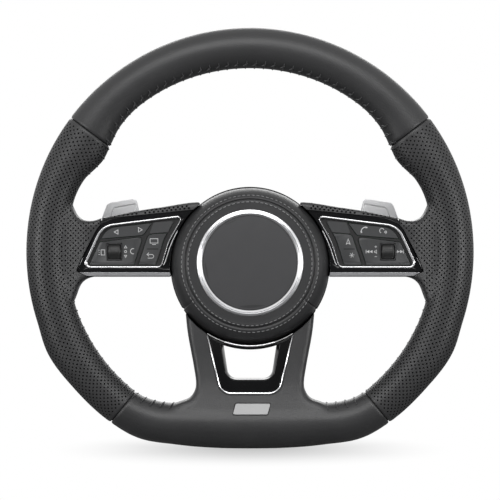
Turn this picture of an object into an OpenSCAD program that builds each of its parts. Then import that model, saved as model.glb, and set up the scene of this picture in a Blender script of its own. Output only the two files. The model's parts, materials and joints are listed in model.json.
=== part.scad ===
// Flat-bottomed car steering wheel: a cast frame in moulded foam, four stitched leather sections,
// two switch pods with keys and thumb rollers, gear paddles behind the spokes and an airbag module
// that floats on springs and works the horn. Millimetres, +Z up, the driver looks along +Y, and the
// origin is on the steering axis where the column's end face meets the hub.

/* [Rim] */
// Diameter over the leather
rim_d = 370; // [364:1:378]
// Width of the rim seen from the front, at the top
rim_w = 33.4; // [31:0.2:35]
// Depth of the rim, front to back
rim_t = 30; // [28:0.5:33]
// How far the thumb rest stands in from the rim's inner edge
thumb_rest = 8.8; // [5:0.2:10]
// Height that the flat bottom takes off the circle
flat_cut = 22.6; // [18:0.2:26]
// Thickness of the leather
leather_t = 1.4; // [1:0.1:2]
// Gap in a sewn joint between two leather sections
seam_gap = 0.3; // [0.2:0.05:0.6]
// Angle from the top to the upper leather joint
upper_seam = 53.2; // [50:0.2:56]
// Angle from the top to the lower leather joint
lower_seam = 140.7; // [138:0.2:144]

/* [Hub] */
// Distance from the rim's middle plane back to the column seat
dish = 56; // [54:1:62]
// Radius of the column bore
bore_r = 9; // [8:0.25:10.5]
// Length of the column bore
bore_len = 24; // [20:1:26]
// Radius of the hub boss round the bore
boss_r = 18; // [15:0.5:20]
// Radius of the hub plate
plate_r = 44; // [43:0.5:46]
// Thickness of the hub plate
plate_t = 6; // [5:0.5:8]
// Radius of the rod inside the rim
rod_r = 5.5; // [4:0.5:7]

/* [Airbag module] */
// Largest radius of the airbag cover
cover_r = 65.4; // [63:0.2:66.4]
// Radius of the sewn ring on the airbag cover
cover_seam_r = 53.4; // [52:0.2:55]
// Height of the module's centre below the steering axis
module_drop = 9; // [7:0.5:11]
// How much lower the cover's skirt is centred than its face
skirt_drop = 3; // [1:0.5:4]
// Wall of the airbag cover
cover_t = 2.6; // [2:0.2:3.4]
// Outer radius of the bright ring
ring_r = 43.9; // [42:0.2:46]
// Width of the bright ring
ring_w = 5; // [4:0.2:6]
// Travel of the horn
horn_travel = 2; // [1:0.5:2.5]
// Radius of the inflator can
inflator_r = 26; // [22:1:28]
// Distance from the module's middle to a guide pin
guide_r = 36; // [35:0.5:38]

/* [Switch pods] */
// Distance from the steering axis to the left roller's middle
roller_left_x = 112.1; // [111:0.1:114]
// Distance from the steering axis to the right roller's middle
roller_right_x = 114; // [112:0.1:115]
// Radius of a thumb roller
roller_r = 6.8; // [6.4:0.1:7]
// Width of a thumb roller
roller_w = 10.6; // [9:0.2:11.2]
// Travel of a pressed roller
press_travel = 0.8; // [0.4:0.1:1]
// Mean width of the bright frame round the keys
bezel_w = 1.5; // [1.2:0.1:2]
// How much wider the bright frame is on the side of the rim
bezel_shift = 0.7; // [0:0.1:0.8]
// Gap beside a key
key_gap = 0.45; // [0.3:0.05:0.6]

/* [Paddles] */
// Thickness of a paddle blade
blade_t = 3.5; // [2.5:0.25:4]
// Distance from the airbag's well out to a paddle's pivot
pivot_gap = 5.8; // [5:0.2:8]
// Radius of a paddle's pin
pin_r = 2; // [1.5:0.25:2.5]

/* [Hidden] */
$fn = 48;

fit = 0.1;      // gap between pieces that are clipped or bonded together
run = 0.05;     // radial clearance of a turning pin
foam_gap = 0.45; // gap between the foam and the leather
weld_gap = 0.02; // gap between pieces that are welded or pressed together
front = -60;    // depth ahead of everything, for cuts
back = 80;      // depth behind everything, for cuts

rim_r = rim_d / 2;
rim_in = rim_r - rim_w;

// Half of the rim's outline, as offsets from the outer circle and from the inner one by the
// angle from the top. The other half mirrors it.
outer_offsets = [[0, 0], [60, 0], [108, 0], [117, 2], [128, -1], [140, -3],
                 [149, -0.25 * flat_cut], [159, -0.64 * flat_cut], [170, -0.91 * flat_cut], [180, -flat_cut]];
inner_offsets = [[0, 0], [37, -0.4], [46, -0.3 * thumb_rest], [52, -0.72 * thumb_rest],
                 [57.5, -thumb_rest], [61.5, -0.78 * thumb_rest], [66, -0.32 * thumb_rest], [73, -0.4],
                 [90, -0.8], [112, -1], [136, -2.2], [143, -0.14 * flat_cut], [150, -0.38 * flat_cut],
                 [160, -0.87 * flat_cut], [170, -1.14 * flat_cut], [180, -1.22 * flat_cut]];

// Depths, measured back from the rim's middle plane.
key_y = 0.2;                          // faces of the keys
key_t = 2.2;
trim_y = -0.4;                        // face of the black spoke trim
trim_t = 2.6;
pin_y = 5;                            // pivots of the keys
board_y = 8.5;                        // face of the switch board
board_t = 1.4;
floor_y = 15;                         // inside floor of the switch housing
floor_t = 1.4;
arm_y = 17;                           // front of the frame's side arms
arm_t = 8;
wing_front = 14.5;                    // front edge of the rear cover's wings
wing_y = 25.6;                        // inside of the rear cover behind a spoke
wall = 2.3;                           // wall of the rear cover
skirt_y = 14;                         // back edge of the airbag cover
face_y = -11;                         // flat middle of the airbag cover
bowl_y = skirt_y + horn_travel + 0.5; // front edge of the rear cover's bowl
bowl_floor = dish - 11.8;             // inside floor of the rear cover's bowl
well_gap = 0.8;                        // gap round the airbag cover
well_r = cover_r + well_gap;
pivot_x = well_r + pivot_gap;
plate_y = dish - bore_len + 4;        // front of the hub plate
backplate_y = 12;                     // front of the airbag's back plate
backplate_t = 1.6;
cover_z = -module_drop;
skirt_z = cover_z - skirt_drop;
well_foot = skirt_z - well_r;
flat_top = -rim_in + 1.22 * flat_cut;  // inner edge of the rim at the flat bottom

// The side spokes are drawn between a well of radius 66.2 and a rim 151.6 inside, and the lower
// ones between -78.2 and -124 up Z. These carry a drawn place over to the present sizes.
drawn_well_r = 66.2;
drawn_rim_in = 151.6;
drawn_well_foot = -78.2;
drawn_flat_top = -124.028;
function across(x) = x > drawn_rim_in ? x + rim_in - drawn_rim_in :
    well_r + (x - drawn_well_r) * (rim_in - well_r) / (drawn_rim_in - drawn_well_r);
function down(z) = z > drawn_well_foot ? z + well_foot - drawn_well_foot :
    z < drawn_flat_top ? z + flat_top - drawn_flat_top :
    well_foot + (z - drawn_well_foot) * (flat_top - well_foot) / (drawn_flat_top - drawn_well_foot);
function pod(points) = [for (q = points) [across(q[0]), q[1]]];
function low(points) = [for (q = points) [q[0], down(q[1])]];
function lowered(table) = [for (q = table) [down(q[0]), q[1]]];

// Half-width of the lower spokes, and the front and back of the lower panel, by height.
panel_half = lowered([[-146, 84], [-132, 70], [-124, 59.5], [-121.5, 51], [-117, 46.8], [-109.7, 44.5],
              [-96, 46.2], [-83, 48.6], [-69, 51.2], [-58, 52.6], [-44, 53.5]]);
panel_front = lowered([[-146, -13.5], [-130, -11.5], [-120, -9], [-105, -6], [-80, -3.4], [-44, -1.6]]);
panel_back = lowered([[-146, 12.5], [-130, 13.5], [-105, 14], [-82, 17], [-66, 24], [-44, 25]]);

// Top and bottom edge, and front and back, of a side spoke by its distance in from the rim.
spoke_reach = rim_in - 40.6;
spoke_top = [[-14, 52], [-2, 50], [3.5, 41], [5.5, 36], [8, 30.6], [12, 27], [17, 25.6], [22, 25.8],
             [28, 27.6], [44, 31], [60, 34.2], [76, 36.6], [spoke_reach, 41.2]];
spoke_bottom = [[-14, -52], [-2, -50], [5, -42], [7.6, -36], [9.5, -29.5], [13, -24.4], [18, -21.6],
                [26, -20.3], [40, -20], [spoke_reach, -20]];
spoke_front = [[-14, -12], [-2, -10.5], [6, -7.4], [14, -4], [22, -1.8], [40, -1.2], [spoke_reach, -0.8]];
spoke_back = [[-14, 12], [-2, 14.8], [8, 21], [16, 25.4], [26, 25.4], [28, 14.2], [spoke_reach, 14.2]];

function mix(a, b, t) = a + (b - a) * t;
function unit(v) = v / norm(v);
function slope(tab, i) = i == 0 || i == len(tab) - 1 ? 0 :
    (tab[i + 1][1] - tab[i - 1][1]) / (tab[i + 1][0] - tab[i - 1][0]);

// Smooth curve through a table of [position, value] pairs, flat at both ends.
function curve(tab, x, i = 0) =
    x <= tab[0][0] ? tab[0][1] :
    x >= tab[len(tab) - 1][0] ? tab[len(tab) - 1][1] :
    x > tab[i + 1][0] ? curve(tab, x, i + 1) :
    let (h = tab[i + 1][0] - tab[i][0], t = (x - tab[i][0]) / h)
        tab[i][1] * (1 + 2 * t) * (1 - t) * (1 - t) + tab[i + 1][1] * t * t * (3 - 2 * t)
        + h * slope(tab, i) * t * (1 - t) * (1 - t) - h * slope(tab, i + 1) * t * t * (1 - t);

// Points of a polygon whose corners are rounded, each with its own radius.
function corner(a, p, b, r, turn_step) =
    r == 0 ? [p] :
    let (u = unit(a - p), v = unit(b - p), half = acos(u * v) / 2,
         c = p + unit(u + v) * r / sin(half),
         s = p + u * r / tan(half) - c, e = p + v * r / tan(half) - c,
         a0 = atan2(s[1], s[0]), raw = atan2(e[1], e[0]) - a0,
         turn = raw > 180 ? raw - 360 : raw < -180 ? raw + 360 : raw,
         n = max(2, ceil(abs(turn) / turn_step)))
    [for (i = [0 : n]) c + r * [cos(a0 + turn * i / n), sin(a0 + turn * i / n)]];
function rounded(pts, radii, turn_step = 12) =
    let (n = len(pts))
    [for (i = [0 : n - 1])
        each corner(pts[(i + n - 1) % n], pts[i], pts[(i + 1) % n], radii[i], turn_step)];

// Solid through a row of rings with the same number of points. A closed row joins end to start.
module loft(rings, closed = false) {
    n = len(rings[0]);
    m = len(rings);
    last = closed ? m - 1 : m - 2;
    polyhedron(
        points = [for (r = rings) each r],
        faces = concat(
            [for (i = [0 : last]) for (j = [0 : n - 1])
                let (a = i * n + j, b = i * n + (j + 1) % n, c = ((i + 1) % m) * n + (j + 1) % n,
                     d = ((i + 1) % m) * n + j)
                each [[a, b, c], [a, c, d]]],
            closed ? [] : [[for (j = [n - 1 : -1 : 0]) j], [for (j = [0 : n - 1]) (m - 1) * n + j]]));
}

// A flat outline drawn as seen from the front, as a slab between two depths.
module slab(y0, y1) {
    translate([0, y1, 0]) rotate([90, 0, 0]) linear_extrude(height = y1 - y0) children();
}

// Round bars along each axis.
module bar_x(y, z, r, x0, x1) {
    translate([x0, y, z]) rotate([0, 90, 0]) cylinder(r = r, h = x1 - x0);
}
module bar_y(x, z, r, y0, y1) {
    translate([x, y1, z]) rotate([90, 0, 0]) cylinder(r = r, h = y1 - y0);
}
module bar_z(x, y, r, z0, z1) {
    translate([x, y, z0]) cylinder(r = r, h = z1 - z0);
}
module block(x0, x1, y0, y1, z0, z1) {
    translate([x0, y0, z0]) cube([x1 - x0, y1 - y0, z1 - z0]);
}

// A profile of [radius, depth] points turned about a line along Y through x = 0.
module turned(z, profile) {
    translate([0, 0, z]) rotate([-90, 0, 0]) rotate_extrude() polygon(profile);
}

// Rim-plane depths become depths from the column seat, and the left-hand pieces mirror the
// right-hand ones.
module place(name = "right") {
    translate([0, -dish, 0]) mirror([name == "left" ? 1 : 0, 0, 0]) children();
}

// One section of the rim at an angle from the top, drawn in by an inset.
function rim_outer(a) = rim_r + curve(outer_offsets, abs(a));
function rim_inner(a) = rim_in + curve(inner_offsets, abs(a));
function rim_ring(a, inset, n) =
    let (ro = rim_outer(a > 180 ? 360 - a : a) - inset, ri = rim_inner(a > 180 ? 360 - a : a) + inset,
         mid = (ro + ri) / 2, half = (ro - ri) / 2, depth = rim_t / 2 - inset)
    [for (i = [0 : n - 1]) let (t = 360 * i / n, r = mid + half * cos(t))
        [r * sin(a), depth * sin(t), r * cos(a)]];

module rim_form(a0, a1, stations, inset, n) {
    loft([for (i = [0 : stations]) rim_ring(mix(a0, a1, i / stations), inset, n)]);
}

// An upright rectangle with rounded corners, as a ring of points that runs the way loft() needs
// for a row along X or up Z.
function block_ring(u0, u1, v0, v1, r, turns) =
    let (c = [[u1 - r, v1 - r], [u1 - r, v0 + r], [u0 + r, v0 + r], [u0 + r, v1 - r]])
    [for (i = [0 : 3]) for (a = turns) c[i] + r * [cos(90 - 90 * i - a), sin(90 - 90 * i - a)]];

// Padded form of the right-hand spoke, from inside the rim to beside the airbag.
spoke_steps = concat(spoke_reach,
    [for (u = [76, 44, 28, 26, 20, 15, 11, 8.5, 6, 3.5, -2, -14]) if (u < spoke_reach - 1) u]);
module spoke_form(inset, turns) {
    loft([for (u = spoke_steps)
        let (ring = block_ring(curve(spoke_front, u) + inset, curve(spoke_back, u) - inset,
                               curve(spoke_bottom, u) + inset, curve(spoke_top, u) - inset,
                               5 - inset, turns))
        [for (p = ring) [rim_in - u, p[0], p[1]]]]);
}

// Padded form of the lower panel and both lower spokes.
panel_steps = [for (q = panel_half) q[0]];
module panel_form(inset, turns) {
    loft([for (z = panel_steps)
        let (half = curve(panel_half, z) - inset,
             ring = block_ring(-half, half, curve(panel_front, z) + inset, curve(panel_back, z) - inset,
                               5 - inset, turns))
        [for (p = ring) [p[0], p[1], z]]]);
}
round_corner = [0, 45, 90];
bevel_corner = [0, 90];

// The round well that the airbag module sits in.
module well() {
    bar_y(0, skirt_z, well_r, front, back);
}

// Outline of the bright frame of the right-hand pod, of the field of keys in it, and of the
// black trim round it.
module bezel_outline(inset = 0) {
    offset(delta = -inset)
        polygon(rounded(pod([[139.2, -13.4], [73.4, -13.4], [66.9, 8.2], [54.2, 30.5], [122.8, 22.1]]),
                        [4.5, 5, 40, 3.3, 17.5], 6));
}
module bezel_hole(inset = 0) {
    translate([-bezel_shift, 0]) bezel_outline(bezel_w + inset);
}
module key_field(inset = 0) {
    offset(delta = -inset)
        polygon(rounded(pod([[133.6, -11.1], [77.6, -11.1], [71, 10], [62.4, 26.4], [119, 19.8]]),
                        [1.2, 3, 30, 1, 15], 6));
}
module trim_outline(grow = 0) {
    offset(delta = grow)
        polygon(rounded(pod([[143.1, -16.6], [48, -16.6], [40, 36.9], [122.4, 26.6], [139.9, -7.5]]),
                        [1, 0, 0, 22, 30], 6));
}
module lower_edge_outline(grow = 0) {
    offset(delta = grow)
        polygon(rounded(pod([[141.4, -16.6], [134, -20.6], [50, -20.6], [50, -16.6]]), [0, 3, 0, 0]));
}
module pocket_outline() {
    trim_outline(3 * fit);
    lower_edge_outline(3 * fit);
}
module pod_pocket() {
    slab(front, floor_y + floor_t + foam_gap) pocket_outline();
    slab(front, back) intersection() {
        pocket_outline();
        translate([0, -60]) square([wing_end + 0.6, 120]);
    }
}

// Outline of the bright line in the lower spoke opening, and of the opening itself.
module line_outline(inset = 0) {
    offset(delta = -inset)
        polygon(rounded(low([[39.4, -50], [24.2, -117.2], [-24.2, -117.2], [-39.4, -50]]), [0, 11, 11, 0]));
}
module lower_pocket() {
    slab(front, back) line_outline(-3 * fit);
}

badge_w = 27;
badge_h = 9;
badge_z = down(-128.7);
badge_y = -12.1;
badge_tilt = 13;
module badge_place() {
    translate([0, badge_y, badge_z]) rotate([badge_tilt, 0, 0]) children();
}
module badge_form(grow, y0, y1) {
    slab(y0, y1) polygon(rounded(
        [for (p = [[1, 1], [-1, 1], [-1, -1], [1, -1]])
            [p[0] * (badge_w / 2 + grow), p[1] * (badge_h / 2 + grow)]],
        [2, 2, 2, 2], 30));
}

// Arms of the cast frame, each as a row of rectangular sections.
side_arm = [[30, 34, 41, -14, 18], [well_r - 22.2, 25, 35, -14, 18],
            [well_r - 12.2, arm_y + 0.3, arm_y + arm_t, -13, 14], [well_r - 4.2, arm_y, arm_y + arm_t, -12, 18],
            [across(112), arm_y, arm_y + arm_t, -12, 20], [across(122), arm_y, arm_y + 5, -12, 20],
            [across(138), arm_y, arm_y + 5, -14, 18], [across(146), 9, 15, -15, 17],
            [across(152), 3, 9, -16, 17], [across(166), -3, 3, -18, 18]];
lower_arm = [[down(-143), 30, 46, -4, 4], [down(-124), 31, 44, -3, 5], [down(-105), 32, 41.5, 0.5, 8],
             [down(-82), 37.5, 46, 6, 13], [down(-67), 41, 48, 15, 20],
             [down(-63), 40.2, 47.6, bowl_y + 0.4, 21.6],
             [down(-53), 36, 44.8, 19.5, 26], [down(-42), 30, 42, 27, 37], [-26, 22, 34, 35, 42]];
module side_arm_form(grow = 0) {
    loft([for (s = side_arm)
        let (x = s[0], y0 = s[1] - grow, y1 = s[2] + grow, z0 = s[3] - grow, z1 = s[4] + grow)
        [[x, y1, z1], [x, y1, z0], [x, y0, z0], [x, y0, z1]]]);
}
module lower_arm_form(grow = 0) {
    loft([for (s = lower_arm)
        let (z = s[0], x0 = s[1] - grow, x1 = s[2] + grow, y0 = s[3] - grow, y1 = s[4] + grow)
        [[x1, y1, z], [x1, y0, z], [x0, y0, z], [x0, y1, z]]]);
}

// Rod of the cast frame, along the middle of the rim.
module rod(r) {
    loft([for (i = [0 : 43])
        let (a = 360 * i / 44, b = a > 180 ? 360 - a : a, m = (rim_outer(b) + rim_inner(b)) / 2)
        [for (j = [0 : 5]) let (q = m + r * cos(60 * j)) [q * sin(a), r * sin(60 * j), q * cos(a)]]], closed = true);
}

guide_turns = [90, 210, 330];
hole_ring = 30;
nut_turns = [30, 150, 270];
nut_r = inflator_r + 3.6;
guide_pin_r = 3;
module at_guides() {
    for (a = guide_turns) translate([guide_r * cos(a), 0, skirt_z + guide_r * sin(a)]) children();
}

// The hub casting, and the arms and rim rod that are welded to it.
module hub_disc(grow = 0) {
    bar_y(0, 0, plate_r + grow, plate_y - grow, plate_y + plate_t + grow);
    bar_y(0, 0, boss_r + grow, dish - bore_len - grow, dish);
    at_guides() bar_y(0, 0, 8 + grow, plate_y - grow, plate_y + plate_t + grow);
}
module hub_holes() {
    bar_y(0, 0, bore_r, dish - bore_len - 1, dish + 1);
    at_guides() {
        bar_y(0, 0, guide_pin_r + run, plate_y - 1, plate_y + plate_t + 1);
        bar_y(0, 0, 7.6, 0, plate_y);
    }
    for (a = [60 : 60 : 360])
        bar_y(hole_ring * cos(a), hole_ring * sin(a), 5, plate_y - 1, plate_y + plate_t + 1);
}
module armature() {
    color("#8d9094") difference() {
        hub_disc();
        hub_holes();
    }
}
module frame_arms() {
    color("#8d9094") difference() {
        union() {
            rod(rod_r);
            for (name = ["left", "right"]) mirror([name == "left" ? 1 : 0, 0, 0]) {
                side_arm_form();
                lower_arm_form();
            }
        }
        hub_disc(weld_gap);
        at_guides() bar_y(0, 0, 7.6, 0, plate_y);
    }
}

// Inner forms of the rim's sections, which the leather is hollowed by and the foam fills.
module top_core(inset) {
    rim_form(-upper_seam - 1, upper_seam + 1, 15, inset, 12);
}
module grip_core(inset) {
    rim_form(upper_seam - 1, lower_seam + 1, 13, inset, 12);
}
module bottom_core(inset) {
    rim_form(lower_seam - 1, 361 - lower_seam, 13, inset, 12);
}

module rim_foam() {
    inset = leather_t + foam_gap;
    color("#3a3a3c") difference() {
        union() {
            top_core(inset);
            bottom_core(inset);
            for (name = ["left", "right"]) mirror([name == "left" ? 1 : 0, 0, 0]) {
                grip_core(inset);
                spoke_form(inset, bevel_corner);
            }
            panel_form(inset, bevel_corner);
        }
        for (name = ["left", "right"]) mirror([name == "left" ? 1 : 0, 0, 0]) {
            pod_pocket();
            side_arm_form(fit);
            lower_arm_form(fit);
        }
        rod(rod_r + fit);
        well();
        lower_pocket();
        badge_place() badge_form(3 * fit, -5, 1.6);
    }
}

// The four leather sections: shells over the foam, butted at the sewn joints.
module leather_top() {
    half = upper_seam - seam_gap / 6;
    color("#2b2b2d") difference() {
        rim_form(-half, half, 15, 0, 16);
        top_core(leather_t);
    }
}
module leather_grip() {
    color("#2b2b2d") difference() {
        union() {
            rim_form(upper_seam, lower_seam, 13, 0, 16);
            spoke_form(0, round_corner);
        }
        grip_core(leather_t);
        spoke_form(leather_t, bevel_corner);
        pod_pocket();
        block(wing_end, wing_end + 4, arm_y - 1, arm_y + 5.4, -13.5, 21);
        well();
    }
}
module leather_bottom() {
    a0 = lower_seam + seam_gap / 6;
    color("#2b2b2d") difference() {
        union() {
            rim_form(a0, 360 - a0, 13, 0, 16);
            panel_form(0, round_corner);
        }
        bottom_core(leather_t);
        panel_form(leather_t, bevel_corner);
        lower_pocket();
        well();
        badge_place() badge_form(fit, -5, 1.2);
    }
}

// Gloss black moulding of a side spoke, with a skirt along its lower edge and a seat for the
// satin strip.
strip_y = -0.8;
module strip_outline(inset = 0) {
    offset(delta = -inset)
        polygon(rounded(pod([[141.2, -16.9], [135, -20], [54, -20], [50, -16.9]]), [0, 2, 1, 0]));
}
module spoke_trim() {
    color("#0c0c0d") difference() {
        union() {
            slab(trim_y, trim_y + trim_t) {
                trim_outline();
                lower_edge_outline();
            }
            block(across(50), across(133), trim_y + 1, wing_front - 0.3, -20.6, -18.6);
        }
        slab(front, back) bezel_outline(-fit);
        slab(front, trim_y + 1.2) strip_outline(-fit);
        well();
    }
}
module spoke_strip() {
    color("#b4b6b8") difference() {
        slab(strip_y, trim_y + 1.2 - fit) strip_outline();
        well();
    }
}

// Bright frame round the keys, and the fascia that the keys come through.
bezel_y = -1.4;
module bezel() {
    color("#dcdddf") difference() {
        slab(bezel_y, key_y + key_t + 0.3) bezel_outline();
        slab(front, back) bezel_hole();
    }
}

// Outlines of the three keys of a pod, within the field.
module rocker_outline(grow = 0) {
    intersection() {
        key_field(key_gap - grow);
        offset(delta = grow)
            polygon(rounded(pod([[140, 9.4], [88.3, 13.7], [74, 34], [140, 34]]), [0, 3.5, 0, 0]));
    }
}
module mode_outline(grow = 0) {
    intersection() {
        key_field(key_gap - grow);
        offset(delta = grow)
            polygon(rounded(pod([[93.4, -14], [84, 14.2], [55, 16.2], [55, -14]]), [0, 5, 0, 0]));
    }
}
module pad_outline(grow = 0) {
    intersection() {
        key_field(key_gap - grow);
        offset(delta = grow)
            polygon(rounded(pod([[97.2, -14], [88.6, 12.3], [140, 5.9], [140, -14]]), [0, 2.5, 0, 0]));
    }
}
module switch_fascia() {
    color("#3c3d40") difference() {
        slab(key_y + 0.2, key_y + key_t + 0.3) bezel_hole(fit);
        slab(front, back) {
            rocker_outline(key_gap);
            mode_outline(key_gap);
            pad_outline(key_gap);
        }
        slab(front, key_y + 1.4) difference() {
            bezel_outline(0);
            key_field(0);
        }
    }
}

// Pivot places of the keys: the rocker tips left and right, the mode key up and down, and the
// pad left and right about the roller's middle.
rocker_x = across(104.5);
mode_x = across(79.8);
mode_z = 2;
pad_post = 8.8;
post_t = 1.5;
lug_r = 1.2;
module pivot_posts(rx, grow = 0) {
    for (z = [13.4, 20])
        block(rocker_x - 2 - grow, rocker_x + 2 + grow, pin_y - 2, floor_y + 0.5, z - grow, z + post_t + grow);
    for (x = [mode_x - 6.1, mode_x + 4.9])
        block(x - grow, x + post_t + grow, pin_y - 2, floor_y + 0.5, mode_z - 2 - grow, mode_z + 2 + grow);
    for (z = [-pad_post - post_t, pad_post])
        block(rx - 2 - grow, rx + 2 + grow, pin_y - 2, floor_y + 0.5, z - grow, z + post_t + grow);
}
module pivot_holes(rx) {
    bar_z(rocker_x, pin_y, lug_r + run, 13, 22);
    bar_x(pin_y, mode_z, lug_r + run, mode_x - 6.8, mode_x + 7.2);
    for (s = [-1, 1]) translate([0, 0, s * (pad_post + post_t / 2)]) bar_z(rx, pin_y, lug_r + run, -1, 1);
}

board_posts = pod([[121, -8], [78, -9], [72, 20], [122, 9]]);
module switch_housing(rx) {
    color("#1b1b1c") difference() {
        union() {
            difference() {
                slab(key_y + key_t + 0.4, floor_y + floor_t) bezel_outline(0.4);
                slab(front, floor_y) bezel_outline(1.9);
            }
            pivot_posts(rx);
            for (p = board_posts) bar_y(p[0], p[1], 1.8, board_y + board_t, floor_y + 0.5);
            for (s = [-1, 1]) translate([rx + s * (cradle_w / 2 + 0.3 + 0.6), 0, 0])
                block(-0.6, 0.6, 10.4, floor_y + 0.5, -4, 4);
        }
        pivot_holes(rx);
    }
}
module switch_board(rx) {
    color("#1f4a2c") difference() {
        union() {
            slab(board_y, board_y + board_t) bezel_outline(2.1);
            for (p = [[across(115), 14], [across(91), 17.4], [mode_x - 2, 9.4], [mode_x + 3, -7.5],
                      [rx + 10.5, -2], [rx - 10.5, -2]])
                bar_y(p[0], p[1], 1.6, 3.7, board_y + 0.1);
        }
        pivot_posts(rx, 0.4);
        block(rx - 8.4, rx + 8.4, 0, 20, -7.6, 7.6);
    }
}

// Keys, each with a stem and a cross pin.
module rocker_key() {
    color("#47484b") {
        slab(key_y, key_y + key_t) rocker_outline();
        block(rocker_x - 1.6, rocker_x + 1.6, key_y + key_t - 0.1, pin_y + 1.2, 15.3, 19.6);
        bar_z(rocker_x, pin_y, lug_r, 13.5, 21.4);
    }
}
module mode_key() {
    color("#47484b") {
        slab(key_y, key_y + key_t) mode_outline();
        block(mode_x - 4.2, mode_x + 4.5, key_y + key_t - 0.1, pin_y + 1.2, mode_z - 1.6, mode_z + 1.6);
        bar_x(pin_y, mode_z, lug_r, mode_x - 6, mode_x + 6.3);
    }
}
left_rx = across(roller_left_x);
right_rx = across(roller_right_x);
window_x = roller_w / 2 + 1;    // half sizes of the window that the roller stands in
window_z = roller_r + 0.4;
recess = 1.2;                   // depth of the pad's recess at the window
roller_y = key_y + sqrt(pow(roller_r, 2) - pow(5.2, 2));
module roller_pad(rx) {
    color("#47484b") difference() {
        union() {
            slab(key_y, key_y + key_t) pad_outline();
            for (s = [-1, 1]) {
                translate([rx, 0, s * 7.95]) block(-1.6, 1.6, key_y + key_t - 0.1, pin_y + 1.2, -0.55, 0.55);
                bar_z(rx, pin_y, lug_r, min(s * 8.4, s * 10.2), max(s * 8.4, s * 10.2));
            }
        }
        block(rx - window_x, rx + window_x, front, key_y + key_t + 1, -window_z, window_z);
        translate([rx, key_y, 0])
            funnel([[-20.3, 21, -11.5, 11.5, -recess / 2], [-window_x, window_x, -window_z, window_z, recess]]);
    }
}

// A rectangular recess that narrows with depth, from rows of [x0, x1, z0, z1, y].
module funnel(rows) {
    loft([for (s = rows) [[s[0], s[4], s[2]], [s[1], s[4], s[2]], [s[1], s[4], s[3]], [s[0], s[4], s[3]]]]);
}

// Sprung carrier of the thumb roller, the roller and the axle moulded into it.
cradle_w = roller_w + 2 * (0.4 + 1.3);
cradle_foot = floor_y - press_travel - 0.8;
axle_r = 1;
module roller_cradle(rx) {
    axle_top = roller_y - 1.7;
    color("#1b1b1c") translate([rx, 0, 0]) difference() {
        union() {
            for (s = [-1, 1]) translate([s * (cradle_w / 2 - 0.65), 0, 0])
                block(-0.65, 0.65, axle_top, cradle_foot, -2.4, 2.4);
            block(-cradle_w / 2, cradle_w / 2, roller_y + roller_r + 0.5, cradle_foot, -2.4, 2.4);
        }
        bar_x(roller_y, 0, axle_r + run, -20, 20);
    }
}
module roller(rx) {
    color("#151516") translate([rx, 0, 0]) difference() {
        bar_x(roller_y, 0, roller_r, -roller_w / 2, roller_w / 2);
        bar_x(roller_y, 0, axle_r + weld_gap, -roller_w, roller_w);
        for (a = [0 : 15 : 345]) rotate_about(roller_y, a)
            bar_x(roller_y + roller_r + 0.25, 0, 0.6, -roller_w / 2 + 0.8, roller_w / 2 - 0.8);
    }
}
module roller_axle(rx) {
    color("#9a9c9f") translate([rx, 0, 0]) bar_x(roller_y, 0, axle_r, -cradle_w / 2, cradle_w / 2);
}
module rotate_about(y, a) {
    translate([0, y, 0]) rotate([a, 0, 0]) translate([0, -y, 0]) children();
}

// Gear paddle: a bracket screwed to the back of the spoke, a lever on a pin and an alloy blade.
blade_y = wing_y + wall + 4.6;
pivot_y = blade_y + 1;
knuckle_r = 3.8;
knuckle_z = [-5, 9.4];
module paddle_bracket() {
    base = wing_y + wall;
    color("#1b1b1c") difference() {
        union() {
            block(pivot_x - 5, pivot_x + 8, base, base + 1.3, knuckle_z[0] - 6, knuckle_z[1] + 6);
            for (z = [knuckle_z[0] - 4.3, knuckle_z[1] + 0.3]) {
                bar_z(pivot_x, pivot_y, 4, z, z + 4);
                block(pivot_x - 4, pivot_x + 4, base + 0.5, pivot_y, z, z + 4);
            }
        }
        bar_z(pivot_x, pivot_y, pin_r + run, -30, 30);
    }
}
module paddle_lever() {
    color("#1b1b1c") difference() {
        union() {
            bar_z(pivot_x, pivot_y, knuckle_r, knuckle_z[0], knuckle_z[1]);
            slab(blade_y + 1.1, blade_y + blade_t - 0.2) polygon(rounded(
                [[pivot_x, -4.6], [across(89), -6], [across(91.5), 4], [across(92), 24], [across(88), 24],
                 [pivot_x + 6, 9.2], [pivot_x, 9.2]],
                [0, 3, 0, 2, 2, 0, 0]));
            slab(blade_y + blade_t, blade_y + blade_t + 2.2) polygon(rounded(
                [[pivot_x + 6, -4.6], [across(108), -6], [across(114), 6], [across(110), 24], [across(90), 24],
                 [pivot_x + 6, 9]], [0, 5, 8, 4, 4, 0]));
            slab(blade_y + 1.1, blade_y + blade_t + 2.2)
                polygon([[pivot_x + 4, -4.6], [across(91), -5], [across(91), 15], [pivot_x + 4, 9]]);
        }
        bar_z(pivot_x, pivot_y, pin_r + run, -30, 30);
        slab(blade_y - 1, blade_y + blade_t) blade_outline(fit);
    }
}
module blade_outline(grow = 0) {
    offset(delta = grow) polygon(rounded(
        pod([[92.3, 30], [95.8, 42.3], [119.5, 38.6], [124.9, 27], [120, -4], [94, -8], [91.6, 0]]),
        [0, 3.5, 5, 4, 8, 3, 0]));
}
module paddle_blade() {
    color("#c9cacc") difference() {
        slab(blade_y, blade_y + blade_t) blade_outline();
        slab(front, blade_y + 0.9) polygon(rounded(
            pod([[95, 24], [96.2, 38], [114.9, 34.8], [118.4, 24]]), [0, 1, 3.5, 0]));
    }
}
module paddle_pin() {
    color("#9a9c9f") {
        bar_z(pivot_x, pivot_y, pin_r, knuckle_z[0] - 4.3, knuckle_z[1] + 4.4);
        bar_z(pivot_x, pivot_y, pin_r + 1, knuckle_z[1] + 4.4, knuckle_z[1] + 5.4);
    }
}

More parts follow.
